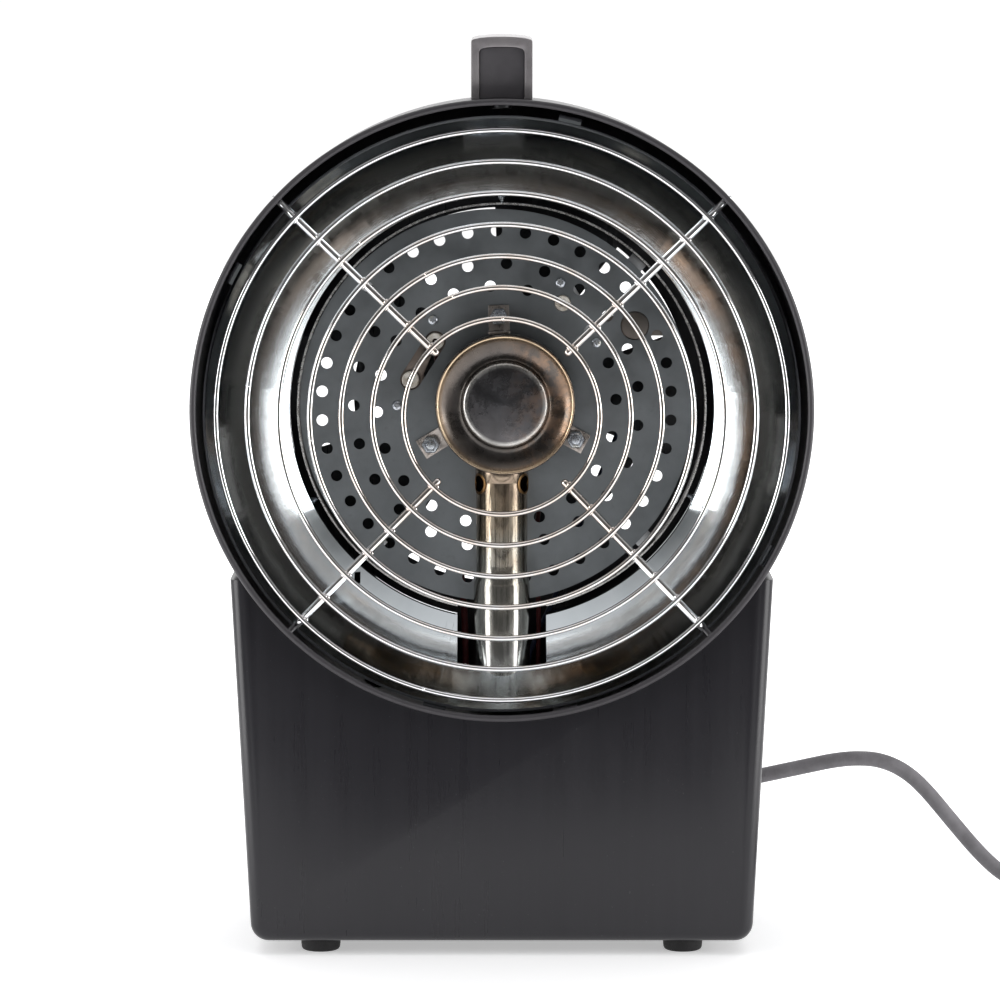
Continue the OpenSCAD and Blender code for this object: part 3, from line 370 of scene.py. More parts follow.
def newFinish(name, colour, metallic, roughness, **sockets):
    material = bpy.data.materials.new(name)
    material.use_nodes = True
    shader = material.node_tree.nodes["Principled BSDF"]
    shader.inputs["Base Color"].default_value = (*colour, 1)
    shader.inputs["Metallic"].default_value = metallic
    shader.inputs["Roughness"].default_value = roughness
    for key, value in sockets.items():
        shader.inputs[key.replace("_", " ")].default_value = value
    return material, material.node_tree, shader


def coords(tree, stretch=(1, 1, 1), centre=(0, 0, 0), kind="Object"):
    source = step(tree, "ShaderNodeTexCoord").outputs[kind]
    moved = step(tree, "ShaderNodeVectorMath", {0: source, 1: tuple(centre)}, operation="SUBTRACT")
    return step(tree, "ShaderNodeMapping", {"Vector": moved.outputs[0], "Scale": stretch}).outputs[0]


def turned(tree, centre, axis="y"):  # radius, turn in radians and depth round an axis
    parts = step(tree, "ShaderNodeSeparateXYZ", {0: coords(tree, centre=centre)}).outputs
    across, up, deep = {"y": (parts[0], parts[2], parts[1]), "z": (parts[0], parts[1], parts[2])}[axis]
    flat = step(tree, "ShaderNodeCombineXYZ", {0: across, 1: up}).outputs[0]
    radius = step(tree, "ShaderNodeVectorMath", {0: flat}, operation="LENGTH").outputs["Value"]
    angle = calc(tree, "ARCTAN2", across, up)
    return radius, angle, deep


def noise(tree, vector, scale, detail=3, roughness=0.5):
    return step(tree, "ShaderNodeTexNoise", {
        "Vector": vector, "Scale": scale, "Detail": detail, "Roughness": roughness}).outputs["Fac"]


def remap(tree, value, low, high, fromLow=0.35, fromHigh=0.65):
    return step(tree, "ShaderNodeMapRange", {
        "Value": value, "From Min": fromLow, "From Max": fromHigh, "To Min": low, "To Max": high}).outputs[0]


def ramp(tree, value, stops):
    node = step(tree, "ShaderNodeValToRGB", {"Fac": value})
    elements = node.color_ramp.elements
    while len(elements) < len(stops):
        elements.new(1)
    for element, (position, colour) in zip(elements, stops):
        element.position = position
        element.color = (*colour, 1)
    return node.outputs[0]


def blend(tree, factor, a, b, kind="MIX"):
    node = step(tree, "ShaderNodeMix", {0: factor, 6: a, 7: b}, data_type="RGBA", blend_type=kind)
    return node.outputs[2]


def colourTo(tree, shader, socket):
    tree.links.new(socket, shader.inputs["Base Color"])


def roughTo(tree, shader, socket):
    tree.links.new(socket, shader.inputs["Roughness"])


def bump(tree, shader, height, strength, distance):  # bumps add up on one shader
    node = step(tree, "ShaderNodeBump", {"Strength": strength, "Distance": distance, "Height": height})
    before = shader.inputs["Normal"].links
    if before:
        tree.links.new(before[0].from_socket, node.inputs["Normal"])
    tree.links.new(node.outputs[0], shader.inputs["Normal"])


# ---------- materials ----------

def makeBlackPaint(name, shadeValue, rough, streaks):
    material, tree, shader = newFinish(name, paint(*shadeValue), 0, rough, Specular_IOR_Level=0.4)
    wiped = noise(tree, coords(tree, (170, 60, 5)), 1, 6, 0.65)  # faint upright wipe marks
    cloudy = noise(tree, coords(tree), 14, 4, 0.6)
    both = calc(tree, "MULTIPLY", wiped, cloudy)
    roughTo(tree, shader, remap(tree, both, rough - streaks, rough + streaks, 0.12, 0.42))
    dust = noise(tree, coords(tree), 900, 2, 0.4)
    lit = tuple(c * 1.25 + 0.001 for c in paint(*shadeValue))
    tone = ramp(tree, wiped, [(0.3, paint(*shadeValue)), (0.9, lit)])
    speck = remap(tree, dust, 0, 0.2, 0.74, 0.8)
    colourTo(tree, shader, blend(tree, speck, tone, (0.16, 0.16, 0.17, 1)))
    bump(tree, shader, noise(tree, coords(tree), 620, 2), 0.05, 0.0004)
    bump(tree, shader, noise(tree, coords(tree), 40, 2), 0.03, 0.002)
    return material


def makeMirror():  # spun and polished sheet: lathe lines, wipe haze and a few scratches
    material, tree, shader = newFinish("polishedReflector", (0.66, 0.67, 0.68), 1, 0.06)
    radius, angle, deep = turned(tree, dishCentre)
    around = step(tree, "ShaderNodeCombineXYZ", {0: radius, 1: angle, 2: deep}).outputs[0]
    lines = noise(tree, step(tree, "ShaderNodeMapping", {"Vector": around, "Scale": (2600, 1.5, 0)}).outputs[0],
                  1, 4, 0.7)
    patches = step(tree, "ShaderNodeMapping", {"Vector": around, "Scale": (20, 5, 0)}).outputs[0]
    broad = noise(tree, patches, 1, 3)
    haze = noise(tree, coords(tree), 16, 5, 0.62)
    roughTo(tree, shader, calc(tree, "ADD", remap(tree, haze, 0.03, 0.11), remap(tree, lines, -0.02, 0.03)))
    colourTo(tree, shader, ramp(tree, broad, [(0.3, (0.64, 0.69, 0.715)), (0.7, (0.72, 0.76, 0.785))]))
    scratches = noise(tree, coords(tree, (90, 90, 900)), 1, 2)
    bump(tree, shader, lines, 0.04, 0.0002)
    bump(tree, shader, remap(tree, scratches, 0, 1, 0.78, 0.8), 0.1, 0.0001)
    bump(tree, shader, broad, 0.25, 0.001)
    return material


def makeChromeWire():
    material, tree, shader = newFinish("chromeWire", (0.83, 0.8, 0.78), 1, 0.06)
    radius = turned(tree, dishCentre)[0]
    near = calc(tree, "MULTIPLY", radius, 8.0)
    mottled = noise(tree, coords(tree), 120, 4)
    mixed = calc(tree, "ADD", near, remap(tree, mottled, -0.2, 0.2))
    colourTo(tree, shader, ramp(tree, mixed, [
        (0.3, (0.74, 0.66, 0.6)), (0.6, (0.83, 0.79, 0.76)), (0.95, (0.86, 0.86, 0.87))]))
    roughTo(tree, shader, remap(tree, mottled, 0.03, 0.12))
    bump(tree, shader, noise(tree, coords(tree), 900, 2), 0.04, 0.0002)
    return material


def makeSheetSteel(name, colour, rough, stretch, tint=0.25, metallic=1.0):  # rolled or brushed sheet
    material, tree, shader = newFinish(name, colour, metallic, rough)
    grain = noise(tree, coords(tree, stretch), 1, 5, 0.7)
    cloudy = noise(tree, coords(tree), 28, 4, 0.6)
    spots = noise(tree, coords(tree), 260, 3, 0.6)
    darker = tuple(c * (1 - tint) for c in colour)
    lighter = tuple(min(c * (1 + tint * 0.6), 1) for c in colour)
    tone = ramp(tree, cloudy, [(0.32, darker), (0.55, colour), (0.72, lighter)])
    colourTo(tree, shader, blend(tree, remap(tree, spots, 0, 0.4, 0.6, 0.75), tone, (*darker, 1)))
    roughTo(tree, shader, remap(tree, grain, rough - 0.08, rough + 0.1))
    bump(tree, shader, grain, 0.08, 0.0002)
    bump(tree, shader, cloudy, 0.1, 0.0008)
    return material


def makeHeatTinted(name, centre, stops, rough=0.28, reach=0.032, copper=0.0):
    # steel coloured by the flame in rings round its middle, with coppery patches towards one side
    material, tree, shader = newFinish(name, (0.5, 0.45, 0.4), 1, rough)
    radius = turned(tree, centre)[0]
    share = calc(tree, "MULTIPLY", radius, 1 / reach)
    patches = noise(tree, coords(tree, centre=centre), 95, 4, 0.6)
    bands = ramp(tree, share, stops)
    if copper:
        across = step(tree, "ShaderNodeSeparateXYZ", {0: coords(tree, centre=centre)}).outputs[0]
        toRight = remap(tree, across, 0, 1, -0.002, 0.022)
        cloudy = remap(tree, noise(tree, coords(tree, centre=centre), 130, 5, 0.65), 0, copper, 0.42, 0.62)
        much = calc(tree, "MULTIPLY", toRight, cloudy)
        bands = blend(tree, much, bands, (0.42, 0.25, 0.15, 1))
    sooty = remap(tree, noise(tree, coords(tree, centre=centre), 42, 5, 0.65), 0, 0.5, 0.45, 0.7)
    colourTo(tree, shader, blend(tree, sooty, bands, (0.05, 0.047, 0.046, 1)))
    roughTo(tree, shader, remap(tree, patches, rough - 0.1, rough + 0.14))
    bump(tree, shader, noise(tree, coords(tree), 700, 3), 0.1, 0.0002)
    scratches = noise(tree, coords(tree, (900, 90, 300)), 1, 2)
    bump(tree, shader, remap(tree, scratches, 0, 1, 0.74, 0.77), 0.15, 0.0001)
    return material


def makeTubeSteel():  # drawn tube: lengthwise grain, straw and brown tints up by the burner
    material, tree, shader = newFinish("mixingTubeSteel", (0.6, 0.57, 0.52), 1, 0.2)
    grain = noise(tree, coords(tree, (700, 700, 12)), 1, 5, 0.7)
    heightZ = step(tree, "ShaderNodeSeparateXYZ", {0: coords(tree, centre=(0, 0, headZ))}).outputs[2]
    patches = noise(tree, coords(tree), 60, 4, 0.6)
    shifted = calc(tree, "ADD", heightZ, remap(tree, patches, -0.012, 0.012))
    colourTo(tree, shader, ramp(tree, remap(tree, shifted, 0, 1, -0.12, -0.02), [
        (0.0, (0.5, 0.5, 0.48)), (0.45, (0.43, 0.41, 0.36)), (0.75, (0.36, 0.29, 0.21)),
        (0.9, (0.27, 0.21, 0.16)), (1.0, (0.2, 0.165, 0.14))]))
    roughTo(tree, shader, remap(tree, grain, 0.1, 0.26))
    bump(tree, shader, grain, 0.06, 0.0002)
    return material


def makeZinc():
    material, tree, shader = newFinish("zincPlate", (0.56, 0.59, 0.63), 1, 0.28)
    cells = noise(tree, coords(tree), 1400, 3, 0.6)
    cloudy = noise(tree, coords(tree), 240, 3)
    colourTo(tree, shader, ramp(tree, cloudy, [
        (0.3, (0.4, 0.43, 0.48)), (0.55, (0.58, 0.61, 0.65)), (0.75, (0.62, 0.6, 0.52))]))
    roughTo(tree, shader, remap(tree, cells, 0.2, 0.4))
    bump(tree, shader, cells, 0.08, 0.0001)
    return material


def makeBrass():
    material, tree, shader = newFinish("machinedBrass", (0.72, 0.53, 0.25), 1, 0.25)
    cloudy = noise(tree, coords(tree), 180, 4)
    colourTo(tree, shader, ramp(tree, cloudy, [(0.3, (0.5, 0.35, 0.16)), (0.7, (0.76, 0.58, 0.3))]))
    grooves = noise(tree, coords(tree, (1500, 1500, 1500)), 1, 2)
    roughTo(tree, shader, remap(tree, grooves, 0.18, 0.36))
    bump(tree, shader, grooves, 0.06, 0.0001)
    return material


def makeCeramic():
    material, tree, shader = newFinish("glazedCeramic", paint(214, 208, 198), 0, 0.22, Coat_Weight=0.5)
    stain = noise(tree, coords(tree), 420, 4, 0.6)
    colourTo(tree, shader, ramp(tree, stain, [
        (0.35, paint(224, 219, 210)), (0.6, paint(196, 186, 172)), (0.78, paint(128, 112, 96))]))
    roughTo(tree, shader, remap(tree, stain, 0.15, 0.4))
    bump(tree, shader, noise(tree, coords(tree), 1500, 2), 0.08, 0.0001)
    return material


def makeRubber(name, colour, kind="Object", weave=0.0):
    material, tree, shader = newFinish(name, colour, 0, 0.62, Specular_IOR_Level=0.35)
    base = coords(tree, kind=kind)
    dusty = noise(tree, base, 60, 5, 0.6)
    fine = noise(tree, base, 1600, 3, 0.6)
    dark = tuple(c * 0.7 for c in colour)
    pale = tuple(c * 1.35 + 0.004 for c in colour)
    colourTo(tree, shader, ramp(tree, dusty, [(0.3, dark), (0.5, colour), (0.75, pale)]))
    roughTo(tree, shader, remap(tree, fine, 0.5, 0.72))
    bump(tree, shader, fine, 0.12, 0.0002)
    if weave:  # the wrap marks of the curing tape, round the hose
        wraps = step(tree, "ShaderNodeTexWave", {
            "Vector": step(tree, "ShaderNodeMapping", {"Vector": base, "Scale": (60, 260, 1)}).outputs[0],
            "Scale": 1.0, "Distortion": 0.6, "Detail": 2}, bands_direction="Y").outputs["Fac"]
        bump(tree, shader, wraps, weave, 0.0002)
    return material


def makePlastic(name, colour, rough, grainSize=1100, grain=0.12):
    material, tree, shader = newFinish(name, colour, 0, rough, Specular_IOR_Level=0.45)
    fine = noise(tree, coords(tree), grainSize, 3, 0.55)
    worn = noise(tree, coords(tree), 55, 4, 0.6)
    pale = tuple(c * 1.3 + 0.006 for c in colour)
    colourTo(tree, shader, ramp(tree, worn, [(0.35, colour), (0.72, pale)]))
    roughTo(tree, shader, remap(tree, worn, rough - 0.06, rough + 0.1))
    bump(tree, shader, fine, grain, 0.0002)
    return material


def makeSilverPaint():  # metallic lacquer with fine flake
    material, tree, shader = newFinish("silverLacquer", paint(200, 194, 196), 0.55, 0.42,
                                       Coat_Weight=0.2, Coat_Roughness=0.3)
    flake = step(tree, "ShaderNodeTexVoronoi", {"Vector": coords(tree), "Scale": 3800}).outputs["Color"]
    sparkle = remap(tree, flake, 0.34, 0.5, 0, 1)
    worn = noise(tree, coords(tree), 70, 5, 0.62)
    colourTo(tree, shader, ramp(tree, worn, [
        (0.3, paint(122, 118, 120)), (0.5, paint(142, 138, 140)), (0.8, paint(156, 152, 153))]))
    roughTo(tree, shader, sparkle)
    bump(tree, shader, worn, 0.05, 0.0005)
    return material


def makeGlow(name, colour):  # metal by a hole, gold to brown: the burnt rims round the tube's ports, and the near-black plug down each insulator's bore, which is painted shade
    material, tree, shader = newFinish(name, colour, 1, 0.3)
    patches = noise(tree, coords(tree), 500, 3)
    colourTo(tree, shader, ramp(tree, patches, [(0.3, tuple(c * 0.5 for c in colour)), (0.7, colour)]))
    bump(tree, shader, patches, 0.1, 0.0001)
    return material


def makeFloor():  # lit paper: its own glow takes over further away, so that it runs out into white
    material, tree, shader = newFinish("paleFloor", (0.86, 0.86, 0.87), 0, 0.6, Specular_IOR_Level=0.2)
    tone = noise(tree, coords(tree), 3, 2)
    colourTo(tree, shader, ramp(tree, tone, [(0.3, (0.85, 0.85, 0.86)), (0.7, (0.87, 0.87, 0.875))]))
    away = step(tree, "ShaderNodeVectorMath", {0: coords(tree)}, operation="LENGTH").outputs["Value"]
    glow = remap(tree, away, 0.42, 1.0, 0.16, 0.7)
    tree.links.new(glow, shader.inputs["Emission Strength"])
    shader.inputs["Emission Color"].default_value = (1, 1, 1, 1)
    return material


capLow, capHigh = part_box("burner_cap")
capCentre = Vector(((capLow.x + capHigh.x) / 2, capLow.y, (capLow.z + capHigh.z) / 2))
capR = (capHigh.x - capLow.x) / 2

bodyPaint = makeBlackPaint("bodyPaint", (33, 32, 36), 0.3, 0.04)
# the drum's black is the body's paint made lighter: painted light on the drum's shaded inner wall
drumPaintLightened = makeBlackPaint("drumPaintLightened", (54, 52, 55), 0.42, 0.04)
mirror = makeMirror()
chrome = makeChromeWire()
plateSteel = makeSheetSteel("aluminisedPlate", (0.2, 0.215, 0.225), 0.4, (60, 60, 60), 0.22)
innerSteel = makeSheetSteel("galvanisedSheet", (0.42, 0.43, 0.44), 0.42, (300, 40, 300), 0.3)
tabSteel = makeSheetSteel("tabSteel", (0.42, 0.38, 0.35), 0.3, (500, 500, 60), 0.35)
soot = makeSheetSteel("sootedSteel", (0.05, 0.045, 0.042), 0.55, (200, 200, 200), 0.3, 0.6)
# bright bare steel for the chamber ring's front face; its brightness also paints in the highlight along that edge
bareEdgeHighlight = makeSheetSteel("bareEdgeHighlight", (0.75, 0.74, 0.72), 0.25, (300, 300, 300), 0.15)
capSteel = makeHeatTinted("capSteel", capCentre, [
    (0.0, (0.15, 0.15, 0.16)), (0.5, (0.14, 0.135, 0.14)), (0.535, (0.55, 0.54, 0.52)),
    (0.585, (0.6, 0.58, 0.55)), (0.605, (0.12, 0.11, 0.1)), (0.7, (0.1, 0.09, 0.085)),
    (0.86, (0.13, 0.11, 0.095)), (0.905, (0.22, 0.16, 0.11)),
    (0.93, (0.8, 0.62, 0.42)), (0.95, (0.16, 0.13, 0.11))], 0.25, copper=0.5)
burnerSteel = makeHeatTinted("burnerSteel", capCentre, [
    (0.0, (0.2, 0.18, 0.17)), (0.85, (0.24, 0.22, 0.2)), (1.0, (0.2, 0.18, 0.16))])
bracketSteel = makeHeatTinted("pilotBracketSteel", capCentre, [
    (0.0, (0.12, 0.1, 0.085)), (0.5, (0.14, 0.115, 0.1)), (1.0, (0.13, 0.12, 0.11))], 0.4, 0.08)
tubeSteel = makeTubeSteel()
zinc = makeZinc()
blackened = makeSheetSteel("blackenedSteel", (0.035, 0.035, 0.037), 0.4, (200, 200, 200), 0.2)
brass = makeBrass()
ceramic = makeCeramic()
burntRim = makeGlow("burntRim", (0.3, 0.17, 0.07))
# near-black plug at the bottom of each insulator's bore: painted shade down the hole
boreShadePlug = makeGlow("boreShadePlug", (0.05, 0.035, 0.03))
hoseRubber = makeRubber("hoseRubber", paint(116, 114, 117), kind="UV", weave=0.25)
footRubber = makeRubber("footRubber", paint(34, 33, 34))
redWire = makeRubber("redWire", paint(80, 25, 27))
blueWire = makeRubber("blueWire", paint(32, 42, 66))
silverPaint = makeSilverPaint()
gripPlastic = makePlastic("gripPlastic", paint(66, 64, 67), 0.42)
knobPlastic = makePlastic("knobPlastic", paint(30, 30, 31), 0.36)
casePlastic = makePlastic("casePlastic", paint(24, 24, 26), 0.5)
redPlastic = makePlastic("redPlastic", paint(170, 26, 22), 0.25, grain=0.03)
whitePaint = makePlastic("whitePaint", paint(226, 225, 220), 0.5)
pipeSteel = makeSheetSteel("gasPipe", (0.62, 0.62, 0.63), 0.3, (200, 200, 200), 0.2)
dialSheet = makeSheetSteel("dialSheet", (0.55, 0.55, 0.56), 0.32, (900, 40, 40), 0.15)
print("materials done")


# ---------- studio ----------

studio = {
    "distance": 2.0, "raise": 4.6, "sideStep": -0.00078, "pitch": 5.68, "lens": 166.8,
    "floorFront": -1.0, "floorBack": 6.0, "floorSide": 5.0, "worldPower": 0.9,
}


def makeCamera():
    data = bpy.data.cameras.new("camera")
    data.lens = studio["lens"]
    data.sensor_width = 36
    data.clip_end = 60
    camera = newObject("camera", data)
    raised = math.radians(studio["raise"])
    camera.location = headCentre + Vector((
        studio["sideStep"], -studio["distance"] * math.cos(raised), studio["distance"] * math.sin(raised)))
    camera.rotation_euler = (math.radians(90 - studio["pitch"]), 0, 0)
    bpy.context.scene.camera = camera


def softBox(name, location, target, width, height, power, tone=(1, 1, 1)):
    data = bpy.data.lights.new(name, "AREA")
    data.shape = "RECTANGLE"
    data.size = width
    data.size_y = height
    data.energy = power
    data.color = tone
    light = newObject(name, data)
    light.location = location
    light.rotation_euler = (Vector(target) - Vector(location)).to_track_quat("-Z", "Y").to_euler()
    light.visible_camera = False


def makeWorld():  # a white tent that is dark where the camera stands
    world = bpy.data.worlds.new("studio")
    bpy.context.scene.world = world
    world.use_nodes = True
    tree = world.node_tree
    background = tree.nodes["Background"]
    direction = step(tree, "ShaderNodeTexCoord").outputs["Generated"]
    parts = step(tree, "ShaderNodeSeparateXYZ", {0: direction}).outputs
    behind = remap(tree, parts[1], 0, 1, -0.9, 0.35)
    tent = ramp(tree, behind, [(0, (0.12,) * 3), (0.35, (0.14,) * 3), (0.62, (0.5,) * 3), (1, (0.95,) * 3)])
    overhead = remap(tree, parts[2], 0, 1, 0.5, 0.9)
    lit = blend(tree, overhead, tent, (0.85, 0.85, 0.86, 1))
    direct = step(tree, "ShaderNodeLightPath").outputs["Is Camera Ray"]
    tree.links.new(blend(tree, direct, lit, (1.15, 1.15, 1.15, 1)), background.inputs["Color"])
    background.inputs["Strength"].default_value = studio["worldPower"]


makeCamera()
makeWorld()
softBox("leftBox", (-1.3, -0.5, 0.36), (0, 0, 0.24), 0.95, 0.75, 11)
softBox("rightBox", (1.3, -0.5, 0.36), (0, 0, 0.24), 0.95, 0.75, 11)
softBox("topBox", (0, 0.1, 1.7), (0, 0, 0.1), 1.8, 1.2, 5)
softBox("backBox", (0.1, 1.6, 1.0), (0, 0, 0.25), 1.6, 0.9, 6)
floor = meshPiece("floor", [
    (-studio["floorSide"], studio["floorFront"], 0), (studio["floorSide"], studio["floorFront"], 0),
    (studio["floorSide"], studio["floorBack"], 0), (-studio["floorSide"], studio["floorBack"], 0)],
    [(0, 1, 2, 3)], makeFloor(), outward=False)
bpy.context.scene.view_settings.view_transform = "Standard"
print("studio done")


# ---------- gas hose ----------

hose = {
    "radius": 0.0035, "depth": 0.150, "coilX": 0.280, "turns": (0.035, 0.042), "floorGap": 0.0006,
    "stepsPerTurn": 48, "endDrop": 0.0024,
    # x and z of the stretch that isn't coiled, in the plane of the gas inlet
    "route": [
        (0.0895, 0.051), (0.100, 0.0532), (0.115, 0.0564), (0.130, 0.0596), (0.145, 0.0628),
        (0.155, 0.0648), (0.165, 0.0658), (0.175, 0.0652), (0.184, 0.0622), (0.192, 0.057),
        (0.199, 0.0502), (0.206, 0.042), (0.213, 0.0336), (0.220, 0.0254), (0.227, 0.018),
        (0.234, 0.012), (0.242, 0.0074), (0.250, 0.005), (0.258, 0.0042), (0.266, 0.0041),
        (0.272, 0.0041)],
}


def ease(t):
    t = min(max(t, 0), 1)
    return t * t * (3 - 2 * t)


def coilPath():  # out, in at the bottom, up, and out again on top, a little over three turns
    inner, outer = hose["turns"]
    low = hose["floorGap"] + hose["radius"]
    centre = Vector((hose["coilX"], lipY + hose["depth"] - outer, 0))
    path = []
    total = 1170
    for i in range(1, round(total / 360 * hose["stepsPerTurn"]) + 1):
        phi = i * 360 / hose["stepsPerTurn"]
        radius = outer + (inner - outer) * (ease((phi - 300) / 60) - ease((phi - 870) / 60))
        z = low + 2 * hose["radius"] * ease((phi - 600) / 60)
        a = math.radians(90 - phi)
        path.append(centre + Vector((radius * math.cos(a), radius * math.sin(a), z)))
    return path, centre


def makeHose():
    shown = smoothPath([Vector((x, lipY + hose["depth"], z)) for x, z in hose["route"]], 4)
    turns, _ = coilPath()
    tail = turns[-1]
    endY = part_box("hose_connector")[1].y
    for share in (0.2, 0.45, 0.7, 0.9, 1.0):  # straight off the coil and down into its fitting
        drop = hose["endDrop"] * ease(share)
        turns.append(Vector((tail.x, tail.y + (endY - tail.y) * share, tail.z - drop)))
    path = shown + turns
    length = sum((b - a).length for a, b in zip(path, path[1:]))
    return sweep("gasHose", path, hose["radius"], hoseRubber, sides=20), path, length


def makeConnector():  # crimped ferrule, hexagon union nut and its threaded spigot
    low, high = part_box("hose_connector")
    centre = middleAt(low, high, high.y)
    back = (0, -1, 0)
    grooves = [(0.0052, 0), (0.0052, 0.0016)]
    for i in range(4):
        start = 0.0022 + i * 0.0032
        grooves += [(0.0052, start), (0.0047, start + 0.0006), (0.0047, start + 0.0014), (0.0052, start + 0.002)]
    crimp = lathe("crimp", [(0, 0)] + grooves + [(0.0052, 0.0155), (0, 0.0155)], brass, centre, back, 48, False)
    nut = copyNode("hose_connector", "unionNut", brass)
    soften(nut, 0.0004)
    threads = [(0, 0.0292)]
    for i in range(8):
        threads += [(0.0065, 0.0294 + i * 0.0012), (0.0059, 0.03 + i * 0.0012)]
    threads += [(0.0062, 0.0389), (0.0042, 0.03895), (0.0042, 0.034), (0, 0.034)]
    spigot = lathe("spigot", threads, brass, centre, back, 48, False)
    return join("hoseConnector", [nut, crimp, spigot])


gasHose, hosePath, hoseLength = makeHose()
hoseConnector = makeConnector()
settle(gasHose, "grey_rubber", "gas_hose", "gas_hose_coil")
settle(hoseConnector, "brass", "hose_connector")
hoseTie = refine("hose_tie", casePlastic, "black_plastic", 0.0002)


def makeFerrule():  # the crimped sleeve between the inlet elbow and the hose
    aim = (hosePath[0] - hosePath[1]).normalized()
    sleeve = [(0.0036, -0.0002), (0.0046, -0.0002), (0.0051, 0.0006)]
    for i in range(3):
        along = 0.003 + i * 0.0042
        sleeve += [(0.0052, along), (0.0046, along + 0.0007), (0.0046, along + 0.0019), (0.0052, along + 0.0026)]
    sleeve += [(0.0052, 0.0158), (0.005, 0.0168), (0.0036, 0.0168)]
    return lathe("hoseFerrule", sleeve, zinc, hosePath[0], aim, 48)


hoseFerrule = settle(makeFerrule(), "zinc", "hose_ferrule")
print("hose done, length", round(hoseLength, 4))


# ---------- drum ----------

drum = {
    "wall": 0.001, "curl": 0.0009, "depth": 0.1, "flange": 0.01, "steps": 300,
    "slotHalf": 0.0197, "slotFront": 0.027, "slotBack": 0.061, "lapClock": 168, "lapWidth": 0.011,
}


def makeDrum():
    middle = drumR - drum["wall"] / 2
    curl = []
    for i in range(13):
        a = math.radians(250 - i * 250 / 12)
        curl.append((middle - drum["curl"] + drum["curl"] * math.cos(a),
                     drum["wall"] / 2 + drum["curl"] - drum["curl"] * math.sin(a)))
    back = drum["depth"] - drum["wall"] / 2
    wall = [(middle, 0.004 + i * (back - 0.0055) / 14) for i in range(15)]
    corner = [(middle - 0.0004, back - 0.0004), (middle - 0.0012, back)]
    profile = curl + wall + corner + [(drumR - drum["flange"], back)]
    shell = lathe("drumShell", profile, drumPaintLightened, headCentre, steps=drum["steps"], closed=False)
    thicken(shell, drum["wall"])
    half = drum["slotHalf"]
    cut(shell, [boxPiece("slot", (-half, lipY + drum["slotFront"], headZ - drumR - 0.01),
                         (half, lipY + drum["slotBack"], headZ - drumR + 0.02))])
    return shell


def makeLapSeam():  # the end of the drum's sheet lies over its start, with a row of spot welds
    inside = drumR - drum["wall"]
    verts, faces = [], []
    columns = 7
    for i in range(columns):
        clock = drum["lapClock"] + math.degrees(drum["lapWidth"] / inside) * (i / (columns - 1) - 0.5)
        for depth in (0.0035, drum["depth"] - 0.003):
            for radius in (inside + 0.0002, inside - 0.0009):
                verts.append(place(clock, radius, depth))
    for i in range(columns - 1):
        a, b = 4 * i, 4 * (i + 1)
        faces += blockWalls(a, b)
    faces += [(0, 2, 3, 1), (4 * columns - 4, 4 * columns - 3, 4 * columns - 1, 4 * columns - 2)]
    seam = soften(meshPiece("lapSeam", verts, faces, drumPaintLightened), 0.0003)
    dimple = lathe("dimple", [(0, 0.0003), (0.001, 0.00026), (0.0016, 0.0001), (0.0018, -0.0002), (0, -0.0002)],
                   drumPaintLightened, (0, 0, 0), (0, 0, 1), 20, False)
    spots = []
    for i in range(6):
        spots.append((place(drum["lapClock"], inside - 0.0009, 0.012 + i * 0.015),
                      -place(drum["lapClock"], 1, -lipY, 0)))
    return join("drumLapSeam", [seam, stamp("spotWelds", dimple, spots, drumPaintLightened)])


def crossHead(radius, height, depth=0.45, name="head"):  # a pan head with a cross recess, base at z = 0
    profile = [(0, 0), (radius * 0.96, 0), (radius, height * 0.12), (radius, height * 0.4),
               (radius * 0.93, height * 0.72), (radius * 0.75, height * 0.92), (radius * 0.4, height),
               (0, height)]
    head = lathe(name, profile, zinc, (0, 0, 0), (0, 0, 1), 32, False)
    arm, width = radius * 0.55, radius * 0.13
    bars = []
    for across, along in ((arm, width), (width, arm)):
        bars.append(boxPiece("bar", (-across, -along, height * (1 - depth)), (across, along, height * 2)))
    return cut(head, bars)


def screwHeads(name, node, side, radius, height):
    # on screws that lie along Y; side is -1 where they face the front
    spots = []
    for low, high in solids(node):
        spots.append((middleAt(low, high, low.y + height if side < 0 else high.y - height), (0, side, 0)))
    return settle(stamp(name, crossHead(radius, height), spots, zinc), "zinc", node)


settle(makeDrum(), "black_paint", "drum_shell")
settle(makeLapSeam(), "black_paint")
refine("drum_rear_cover", bodyPaint, "black_paint", 0.00025)
screwHeads("coverScrewHeads", "rear_cover_screws", 1, 0.0032, 0.002)
print("drum done")


# ---------- reflector ----------

dish = {
    "rimR": 0.1288, "rimDepth": 0.012, "neckR": 0.0943, "neckDepth": 0.05, "neckLength": 0.008,
    "wall": 0.0006, "belly": 0.003, "steps": 320, "rows": 24,
    "tabs": (13, 118, 193, 298), "tabWidth": 0.01, "seamClock": 193.5, "slotClock": 220.5,
}


def dishPoint(share):  # from the rim, 0, to the inner edge, 1; the sheet bellies out
    across, deeper = dish["rimR"] - dish["neckR"], dish["neckDepth"] - dish["rimDepth"]
    out = 4 * share * (1 - share) * dish["belly"] / math.hypot(across, deeper)
    return dish["rimR"] - across * share + deeper * out, dish["rimDepth"] + deeper * share + across * out


